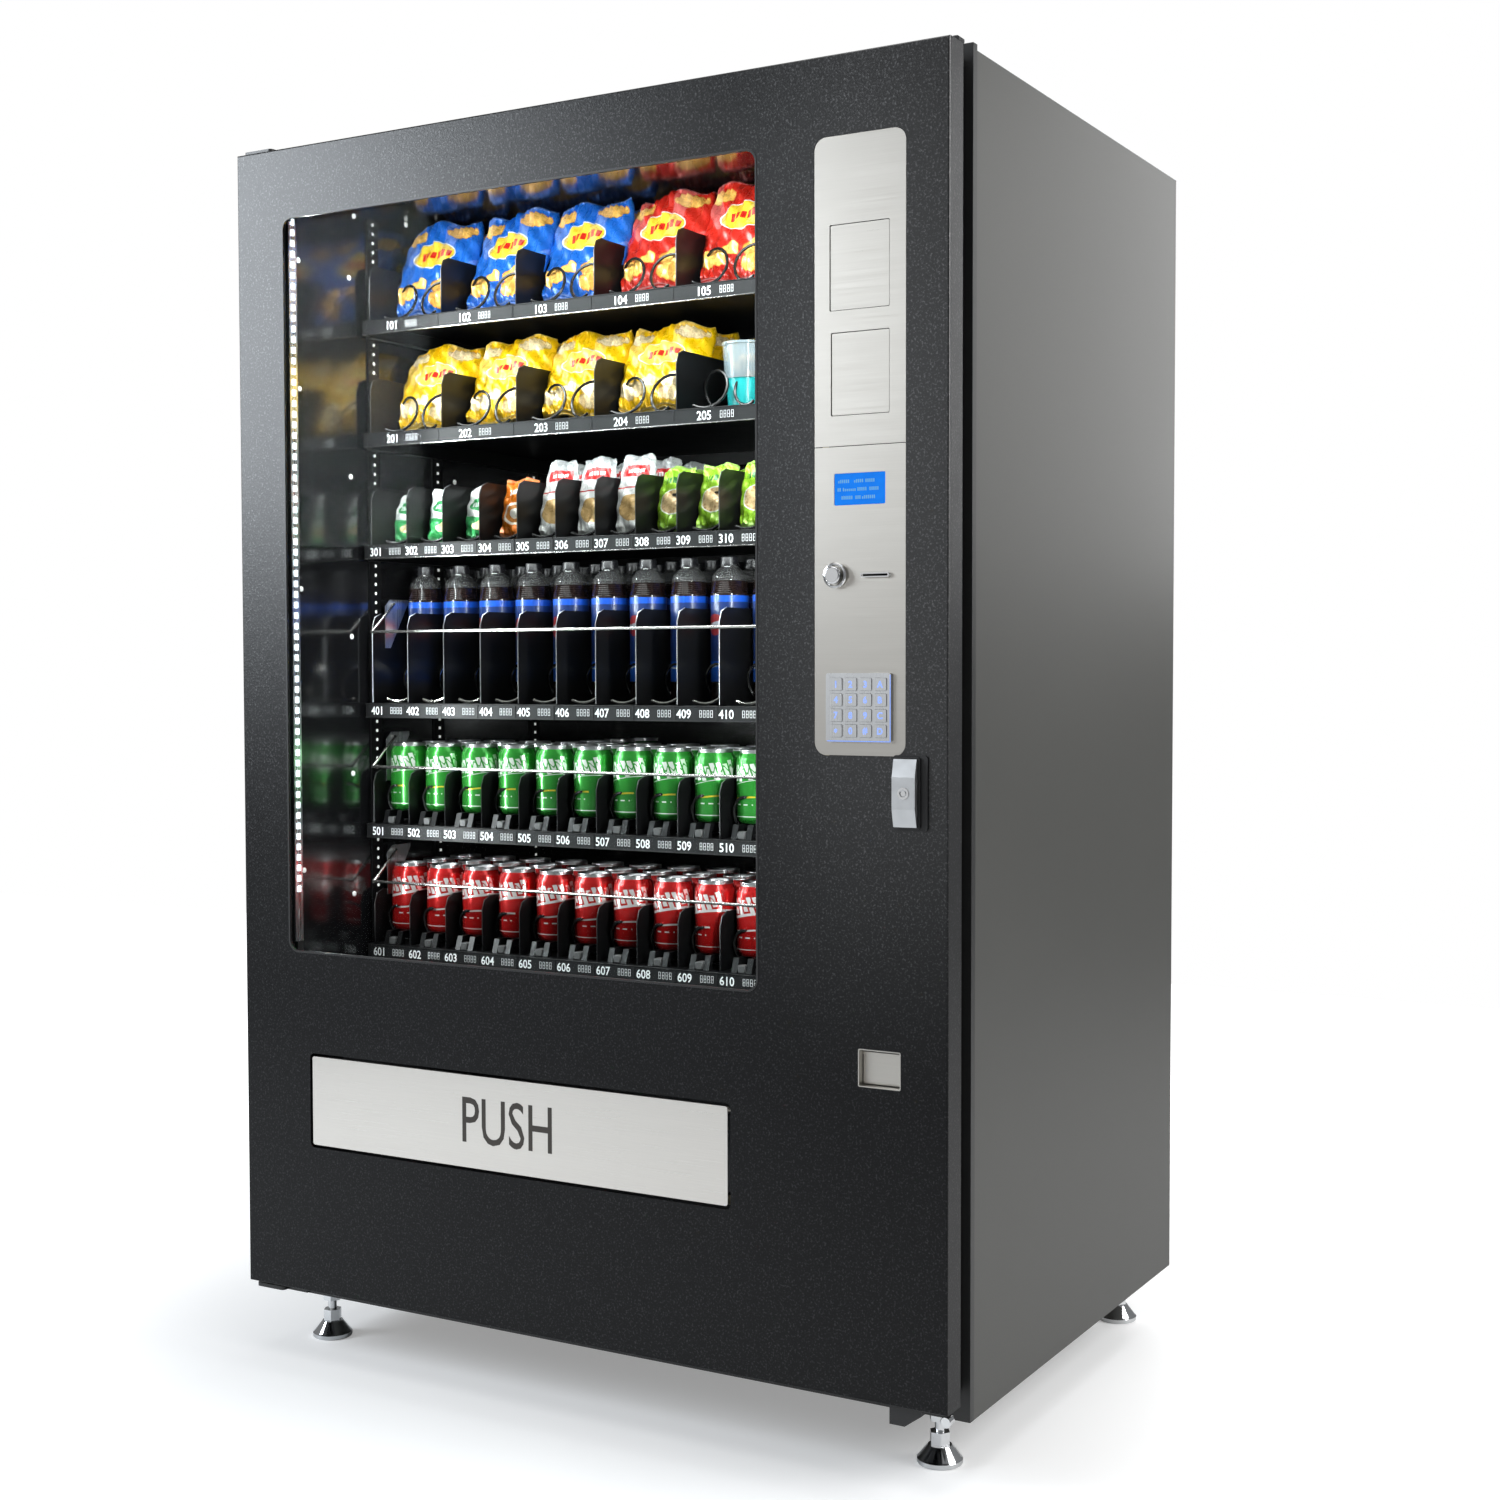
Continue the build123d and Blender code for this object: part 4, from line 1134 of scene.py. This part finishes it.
# bags fill double lanes: tray, films, film of each double lane from the left, height scale
for tray, films, picks, high in ((1, ["bag_blue", "bag_red"], (0, 0, 0, 1, 1, 1), 1.10),
                                 (2, ["bag_yellow"], (0, 0, 0, 0), 0.965)):
    mesh = Mesh()
    for column, pick in enumerate(picks):
        for row in range(3):
            add_bag(mesh, BAG, x=lane_edge(2 * column + 1) + rng.uniform(-1.0, 1.0),
                    y=312 + LANE_PITCH * row, z=deck_z[tray] + 3, slot=pick,
                    lean=25 + rng.uniform(-2.5, 2.5), yaw=rng.uniform(-3, 3),
                    wide=0.97, high=high, thick=54, seed=tray * 100 + column * 10 + row,
                    full=0.10)
    mesh.build(f"bags_{tray}", films, f"tray_{tray}", 60)

# pillow and height scale of each pack film, and the film in each lane from the left
PACK_KINDS = ((PACK, 0.70), (PACK, 0.78), (TALL_PACK, 0.88), (PACK, 0.82))
PACK_LANES = (0, 0, 0, 1, 2, 2, 2, 3, 3, 3, 3, 3)
mesh = Mesh()
for lane, kind in enumerate(PACK_LANES):
    pillow, high = PACK_KINDS[kind]
    for row in range(3):
        add_bag(mesh, pillow, x=lane_centre(lane) + rng.uniform(-0.8, 0.8),
                y=301 + LANE_PITCH * row, z=deck_z[3] + 4, slot=kind,
                lean=14 + rng.uniform(-2, 2), yaw=rng.uniform(-2, 2),
                wide=1.0, high=high, thick=30, seed=300 + lane * 10 + row, full=0.12)
mesh.build("packs_3", ["pack_white_green", "pack_orange", "pack_white_red", "pack_lime"],
           "tray_3", 60)

# -------------------------------------------------------------------- cups --
CUP_TEAL_TOP = 44.6                  # teal up to here, clear above
CUP_PROFILE = [                      # radius, height
    (0, 1), (27, 0), (28.5, 1.5), (31.5, 44), (33.5, CUP_TEAL_TOP), (37.0, 96), (38.6, 97),
    (38.6, 100.5), (37.2, 101.2), (35.6, 101.2), (34.8, 99.2), (20, 99.6), (0, 99.6)]
CUP_SEGMENTS = 30
FILL_PROFILE = [(0, -8), (5, -6.5), (8.5, -2), (8.5, 2), (5, 6.5), (0, 8)]   # radius, height
FILL_PIECES = 9


def add_cup(mesh, x, y, deck):
    verts, faces = revolve(CUP_PROFILE, CUP_SEGMENTS)
    band_slots = [int(height <= CUP_TEAL_TOP) for _, height in CUP_PROFILE[1:]]
    mesh.add((verts + np.array([x, y, deck + 5]), faces), np.repeat(band_slots, CUP_SEGMENTS),
             verts)
    for k in range(FILL_PIECES):     # pieces in an opening spiral, on three levels
        angle = 2.4 * k
        reach = 20 * math.sqrt((k + 0.5) / FILL_PIECES)
        centre = (x + reach * math.cos(angle), y + reach * math.sin(angle),
                  deck + 56 + 12 * (k % 3))
        mesh.add(revolve(FILL_PROFILE, 10, centre), 2)


mesh = Mesh()
for column in (4, 5):                # the two double lanes on the right
    for row in range(3):
        add_cup(mesh, lane_edge(2 * column + 1) + 8, 322 + LANE_PITCH * row, deck_z[2])
mesh.build("cups_2", ["cup_clear", "cup_teal", "cup_fill"], "tray_2", 40)

# ------------------------------------------------------------ price strips --
# holder face, top lip and bottom lip: how far it stands forward, z from and to, chamfer, slot
HOLDER_PARTS = ((0.7, -11.6, 11.6, 0.3, 0), (2.0, 10.4, 12.0, 0.4, 0),
                (2.2, -12.3, -10.6, 0.4, 1))
FIGURE_WIDTH, FIGURE_HEIGHT, FIGURE_STROKE, FIGURE_PITCH = 4.2, 10.5, 0.7, 6.6


def lane_step(tray):
    """Lanes from one divider to the next."""
    return 2 if tray <= 2 else 1


def add_figure(mesh, x, z):
    """An outlined 8 in thin strokes, lower left corner at x, z."""
    width, height, stroke = FIGURE_WIDTH, FIGURE_HEIGHT, FIGURE_STROKE
    bars = [((x, x + width), (z + rise, z + rise + stroke)) for rise in (0, height / 2, height)]
    bars += [((x, x + stroke), (z, z + height)),
             ((x + width - stroke, x + width), (z, z + height + stroke))]
    for xs, zs in bars:
        mesh.add(box(xs, (tray_front - 1.05, tray_front - 0.75), zs, 0.08), 3)


def build_price_strip(tray):
    """Holder, separators, lane numbers and four-figure prices."""
    z, step = strip_z[tray], lane_step(tray)
    mesh = Mesh()
    for forward, low, high, chamfer, slot in HOLDER_PARTS:
        mesh.add(box((tray_left + 0.2, tray_right - 0.2), (tray_front - forward, tray_front + 0.1),
                     (z + low, z + high), chamfer), slot)
    for edge in range(0, LANES + 1, step):
        x = min(max(lane_edge(edge), tray_left + 2), tray_right - 2)
        mesh.add(box((x - 1.1, x + 1.1), (tray_front - 1.6, tray_front - 0.4),
                     (z - 10.6, z + 10.4), 0.3))
    for edge in range(0, LANES, step):
        x = lane_edge(edge) + (step - 1) * LANE_PITCH * 0.5
        number = f"{tray}{edge // step + 1:02d}"
        verts, faces = letters(number, size=19.5, bold=0.26, stretch=0.92)
        mesh.add((verts + np.array([x + 4, tray_front - 1.05, z - 6.8]), faces), 2)
        for figure in range(4):
            add_figure(mesh, x + 46 + figure * FIGURE_PITCH, z - 5.5)
    lower_lip = "bright_rod" if tray <= 3 else "price_strip"
    mesh.build(f"price_strip_{tray}",
               ["price_strip", lower_lip, "label_white", f"label_dim_{tray}"],
               f"tray_{tray}", 35)


for tray in TRAYS:
    build_price_strip(tray)

# thin rods along the front edges of the dividers
DIVIDER_HEIGHTS = (95, 95, 97, 153, 92, 92)      # above the deck, tray 1 to 6
for tray, height in zip(TRAYS, DIVIDER_HEIGHTS):
    mesh = Mesh()
    deck = deck_z[tray]
    for edge in range(0, LANES + 1, lane_step(tray)):
        x = lane_edge(edge)
        mesh.add(tube([(x, 251.2, deck + 1.5), (x, 251.2, deck + height - 22),
                       (x, 257.8, deck + height - 6), (x, 274, deck + height + 0.4)], 0.75, 6))
    mesh.build(f"divider_edges_{tray}", ["galvanised" if tray == 4 else "edge_dark"],
               f"tray_{tray}", 40)

# slanted plates for the guard rods, at the left and right ends of the lanes
ROD_Z = {4: 1113, 5: 884, 6: 687}
PLATE_OUTLINE = ((283, -76), (296, -76), (344, 2), (344, 8), (296, 8), (283, -4))  # y, z from rod
for tray, rod_z in ROD_Z.items():
    mesh = Mesh()
    for x in (lane_edge(0) + 1.9, lane_edge(LANES) - 1.9):
        left, right = [[(side, y, rod_z + z) for y, z in PLATE_OUTLINE]
                       for side in (x - 0.7, x + 0.7)]
        mesh.add(loft(left, right))
    mesh.build(f"rod_plates_{tray}", ["satin_steel"], f"tray_{tray}", 30)

# --------------------------------------------------- inside the cabinet -----
RIVET_STATIONS = (                   # y, z
    (231, 1768), (93, 1670), (217, 1662), (93, 1461), (217, 1327), (92, 1133), (216, 1056),
    (92, 668), (216, 617), (216, 823), (368, 1779), (368, 1500), (368, 1250), (500, 1660),
    (500, 1340), (640, 1560))
RIVET_PROFILE = [(4.6, 0), (4.4, 0.9), (3.2, 1.7), (0, 2.0)]                 # radius, height
mesh = Mesh()
for y, z in RIVET_STATIONS:
    for x, axis in ((43.1, "+x"), (995.9, "-x")):        # left and right walls
        mesh.add(revolve(RIVET_PROFILE, 16, (x, y, z), axis))
# painted light: the rivet heads glow to read as bright dots
mesh.build("liner_rivets", ["rivet_white"], "cabinet", 40)

HOLE_PROFILE = [(2.9, 0), (2.9, 0.25), (0, 0.3)]                             # radius, height
HOLE_LEFT, HOLE_RIGHT, HOLE_DEPTH = 46.05, 992.95, 0.3
mesh = Mesh()
for y, round_holes in ((276, True), (448, False), (740, False)):
    for z in np.arange(312, 1765, 15.75):
        if round_holes:
            mesh.add(revolve(HOLE_PROFILE, 12, (HOLE_LEFT, y, z), "+x"))
            mesh.add(revolve(HOLE_PROFILE, 12, (HOLE_RIGHT, y, z), "-x"))
        else:
            for xs in ((HOLE_LEFT, HOLE_LEFT + HOLE_DEPTH), (HOLE_RIGHT - HOLE_DEPTH, HOLE_RIGHT)):
                mesh.add(box(xs, (y - 3, y + 3), (z - 2.4, z + 2.4), 0.1))
# painted light: the holes glow to stand bright against the dark posts
mesh.build("post_holes", ["hole_light"], "cabinet", 40)

# LED chips up the left of the window, and the lead below them
mesh = Mesh()
for z in np.arange(640.0, 1712.0, 17.0):
    mesh.add(box((86.4, 87.6), (29.0, 36.0), (z, z + 10.0)))
mesh.add(tube([(84, 33, 640), (84.5, 33, 622), (85, 32, 604), (84.5, 30, 588)], 1.3), 1)
mesh.build("led_chips", ["led_white", "label_white"], "door", 40)

# ---------------------------------------------------------- display board --
# left, bottom, width and height as shares of the display, thickness in millimetres
BOARD_PARTS = ((0.08, 0.12, 0.30, 0.30, 2.0), (0.50, 0.15, 0.16, 0.42, 1.6),
               (0.12, 0.62, 0.46, 0.18, 3.4), (0.74, 0.60, 0.12, 0.20, 2.4))


def build_display_board():
    """Circuit board on the back of the display, with parts and a row of pins."""
    (left, right), (_, back), (bottom, top) = node_spans("display")

    def part(x_from, x_to, z_from, z_to, thickness, chamfer):
        xs, zs = [(low + start * (high - low), low + end * (high - low))
                  for low, high, start, end in ((left, right, x_from, x_to),
                                                (bottom, top, z_from, z_to))]
        return box(xs, (back + 1.6, back + 1.6 + thickness), zs, chamfer)

    mesh = Mesh()
    mesh.add(box((left + 0.6, right - 0.6), (back + 0.1, back + 1.7),
                 (bottom + 0.6, top - 0.6), 0.3))
    for x, z, width, height, thickness in BOARD_PARTS:
        mesh.add(part(x, x + width, z, z + height, thickness, 0.3), 1)
    for k in range(10):
        mesh.add(part(0.14 + 0.042 * k, 0.155 + 0.042 * k, 0.57, 0.62, 0.5, 0.1), 2)
    mesh.build("display_board", ["pcb_green", "pcb_parts", "galvanised"], "door", 35)


build_display_board()

# ----------------------------------------------------------------- legends --
verts, faces = letters("PUSH", size=100.0, bold=0.2)
for axis, start, length in ((0, 440, 167), (2, 278, 71)):        # fit to its place on the flap
    low, high = verts[:, axis].min(), verts[:, axis].max()
    verts[:, axis] = start + (verts[:, axis] - low) / (high - low) * length
verts[:, 1] = node_spans("delivery_flap")[1][0] - 0.12
mesh = Mesh()
mesh.add((verts, faces))
mesh.build("flap_legend", ["push_ink"], "delivery_flap", 40)

KEY_X, KEY_Z = 1118.5, 947           # middle of the keypad
KEY_PITCH_X, KEY_PITCH_Z = 22.2, 21
keys_front = node_spans("keypad_keys")[1][0]
mesh = Mesh()
for k, glyph in enumerate("123A456B789C*0#D"):
    row, column = divmod(k, 4)
    verts, faces = letters(glyph, size=12.5, bold=0.3, stretch=0.95)
    for axis, middle in ((0, KEY_X + (column - 1.5) * KEY_PITCH_X),
                         (2, KEY_Z - (row - 1.5) * KEY_PITCH_Z)):
        verts[:, axis] += middle - (verts[:, axis].max() + verts[:, axis].min()) / 2
    verts[:, 1] = keys_front - 0.06
    mesh.add((verts, faces))
mesh.build("key_legends", ["key_legend"], "keypad_keys", 40)

# blue lines along the right and bottom edges of the keypad
(left, right), (front, _), (bottom, top) = node_spans("keypad_body")
mesh = Mesh()
for xs, zs in (((right - 1.5, right - 0.5), (bottom + 1.0, top - 2.0)),
               ((left + 2.0, right - 0.5), (bottom + 0.5, bottom + 1.5))):
    mesh.add(box(xs, (front - 0.15, front + 0.2), zs, 0.1))
mesh.build("keypad_glow", ["blue_glow"], "door", 40)

# rows of dashes on the display: z, then where each run starts and ends from DASH_LEFT
DASH_LEFT, DASH_PITCH, DASH_WIDTH = 1081, 2.9, 1.9
DASH_ROWS = ((1252, ((5, 22), (29, 42), (46, 58))),
             (1241, ((4, 9), (12, 30), (34, 48), (52, 66))),
             (1230, ((10, 26), (31, 37), (41, 60))))
mesh = Mesh()
for z, runs in DASH_ROWS:
    for start, end in runs:
        for x in np.arange(DASH_LEFT + start, DASH_LEFT + end, DASH_PITCH):
            top = 2.4 if int(x) % 3 else 1.0
            mesh.add(box((x, x + DASH_WIDTH), (0.82, 1.0), (z - 2.2, z + top), 0.08))
mesh.build("display_rows", ["lcd_dash"], "door", 40)

# --------------------------------------------------- small parts on the door
# ring round the coin return knob, and the rim of the slot beside it
panel_front = node_spans("lower_panel")[1][0]
KNOB_RING_PROFILE = [(14.2, 0), (16.8, 0), (17.6, 1.6), (16.6, 3.0), (14.6, 3.4), (13.6, 2.2),
                     (13.6, 0)]      # radius, height
mesh = Mesh()
mesh.add(revolve(KNOB_RING_PROFILE, 40, (1083, panel_front, 1125.6), "-y"))
mesh.add(rim(rounded(1121, 1164.5, 1121.8, 1128.4, 3.2),
             rounded(1123.2, 1162.3, 1123.6, 1126.6, 1.4), panel_front - 1.2, panel_front + 0.2))
mesh.build("knob_ring", ["chrome"], "door", 35)

# cap at the top right of the door, bracket and two rollers under it
BRACKET_OUTLINE = [(1157, -1), (1205, -1), (1205, -13), (1180, -31), (1157, -31)]  # x, z
mesh = Mesh()
mesh.add(prism(rounded(1238.5, 1249.6, 1824.2, 1831.5, 3.0), 30, 48))
mesh.add(prism(BRACKET_OUTLINE, 15, 30))
for x in (1164, 1240):
    mesh.add(revolve([(0, 0), (7, 0), (8, 1), (8, 13), (7, 14), (0, 14)], 28, (x, 30, -15), "-y"),
             1)
mesh.build("door_guides", ["black_abs", "chrome"], "door", 35)

# ---------------------------------------------------------- cabinet's back --
REAR_SCREW_PROFILE = [(4.6, 0), (4.6, 0.8), (3.8, 2.0), (2.0, 2.4), (1.9, 1.4), (0, 1.4)]
mesh = Mesh()
for x in (30, 420, 830, 1220):
    for z in (230, 640, 1060, 1480, 1780):
        mesh.add(revolve(REAR_SCREW_PROFILE, 18, (x, BACK_Y - 0.2, z), "+y"))
mesh.build("rear_screws", ["galvanised"], "cabinet", 40)

# flat cover with fourteen raised bars
mesh = Mesh()
mesh.add(box((300, 950), (BACK_Y - 0.3, BACK_Y + 2.2), (1180, 1700), 1.0))
for k in range(14):
    mesh.add(box((380, 870), (BACK_Y + 1.9, BACK_Y + 4.4), (1240 + k * 30, 1254 + k * 30), 1.1))
mesh.build("rear_cover", ["cabinet_coat"], "cabinet", 35)

# power cord hanging down the back, with a sleeve at its upper end
cord = []
for k in range(60):
    share = k / 59
    cord.append((1120 - 60 * math.sin(share * 3.1) - 250 * share * share,
                 BACK_Y + 4.5 + 2.5 * math.sin(share * 9) ** 2,
                 150 - 215 * share ** 0.8 + 12 * math.sin(share * 7)))
SLEEVE_PROFILE = [(0, -6), (6.5, -6), (8, -3), (6, 8), (4.2, 16), (0, 16)]   # radius, height
mesh = Mesh()
mesh.add(tube(cord, 3.6, 10))
mesh.add(revolve(SLEEVE_PROFILE, 20, (cord[0][0], BACK_Y + 3.5, cord[0][2] + 4)))
mesh.build("power_cord", ["gasket_rubber"], "cabinet", 60)

# screws up both sides of the door's back
core_back = node_spans("door_core")[1][1]
mesh = Mesh()
for z in range(80, 1800, 86):
    for x in (16, 1236):
        mesh.add(revolve([(3.6, 0), (3.6, 0.6), (2.6, 1.6), (0, 1.7)], 16,
                         (x, core_back - 0.1, z), "+y"))
mesh.build("door_rear_screws", ["galvanised"], "door", 40)


# ------------------------------------------------------------------- stage --
def build_world():
    """White to the camera, grey to everything else."""
    world = bpy.data.worlds.new("studio")
    world.use_nodes = True
    tree = world.node_tree
    seen = add_node(tree, "LightPath", output="Is Camera Ray")
    background = tree.nodes["Background"]
    feed(tree, background.inputs[0], add_mix(tree, seen, (0.20, 0.205, 0.21), grey(1.0)))
    background.inputs[1].default_value = 1.0
    bpy.context.scene.world = world


def area(name, place, aim, size, power, color=(1, 1, 1)):
    """Rectangular area light. place and aim are in metres, size is (width, height)."""
    light = bpy.data.lights.new(name, "AREA")
    light.shape = "RECTANGLE"
    light.size, light.size_y = size
    light.energy = power
    light.color = color
    lamp = bpy.data.objects.new(name, light)
    bpy.context.scene.collection.objects.link(lamp)
    lamp.location = place
    lamp.rotation_euler = (Vector(aim) - Vector(place)).to_track_quat("-Z", "Y").to_euler()


def build_lights():
    area("key_left", place=(-3.05, -2.75, 2.35), aim=(-0.55, -0.45, 1.45), size=(1.5, 1.7),
         power=140, color=(0.88, 0.94, 1.0))
    area("fill_right", place=(3.3, 0.5, 2.5), aim=(0.62, 0.2, 1.38), size=(1.8, 2.4), power=98)
    area("front_soft", place=(-0.9, -4.3, 1.7), aim=(0.4, -0.45, 1.1), size=(1.8, 2.6), power=6.5)
    area("top_soft", place=(0.2, -0.6, 3.6), aim=(0.0, 0.0, 1.0), size=(2.4, 2.0), power=30)
    area("back_soft", place=(0.4, 3.4, 2.2), aim=(0.0, 0.4, 0.9), size=(2.2, 1.8), power=60)
    # inside the cabinet: left, right, roof, then one under the front of each shelf
    cool = (0.95, 0.98, 1.0)
    area("led_wash", place=station(96, 60, 1150), aim=station(700, 330, 1150), size=(0.03, 1.1),
         power=7, color=(0.93, 0.97, 1.0))
    area("right_wash", place=station(966, 70, 1150), aim=station(400, 330, 1150),
         size=(0.03, 1.1), power=5, color=cool)
    area("roof_wash", place=station(520, 110, 1722), aim=station(520, 300, 1400),
         size=(0.85, 0.05), power=5, color=cool)
    for tray in (1, 2, 3, 4, 5):
        area(f"shelf_wash_{tray}", place=station(520, 258, strip_z[tray] - 14),
             aim=station(520, 330, strip_z[tray + 1] + 60), size=(0.88, 0.02),
             power=1.0 if tray <= 3 else 0.16, color=cool)


def build_floor():
    """Flat floor just under the machine, in forty strips from front to back."""
    strips = 40
    z = (cad_box[0][2] - origin[2]) * 1000 - 0.2
    verts = [(x, -9000 + 13500 * (k / strips), z)
             for k in range(strips + 1) for x in (-9000, 10500)]
    faces = [[2 * k, 2 * k + 1, 2 * k + 3, 2 * k + 2] for k in range(strips)]
    mesh = Mesh()
    mesh.add((verts, faces))
    mesh.build("floor", ["floor"])


def build_camera():
    """Camera in front and to the right, turned left by yaw and tipped down by pitch."""
    lens = bpy.data.cameras.new("cam")
    lens.lens, lens.sensor_width, lens.sensor_fit = 48.917, 36.0, "HORIZONTAL"
    lens.clip_start, lens.clip_end = 0.05, 60
    camera = bpy.data.objects.new("cam", lens)
    bpy.context.scene.collection.objects.link(camera)
    yaw, pitch, roll = math.radians(29.853), math.radians(2.248), -0.00189
    forward = Vector((-math.sin(yaw) * math.cos(pitch), math.cos(yaw) * math.cos(pitch),
                      -math.sin(pitch)))
    right = Vector((math.cos(yaw), math.sin(yaw), 0))
    up = right.cross(forward)
    cosine, sine = math.cos(roll), math.sin(roll)
    rolled_right = cosine * right + sine * up
    rolled_up = -sine * right + cosine * up
    pose = Matrix((rolled_right, rolled_up, -forward)).transposed().to_4x4()
    pose.translation = Vector((1.735, -2.917, 1.114))
    camera.matrix_world = pose
    bpy.context.scene.camera = camera


build_world()
build_lights()
build_floor()
build_camera()
bpy.context.scene.view_settings.view_transform = "Standard"
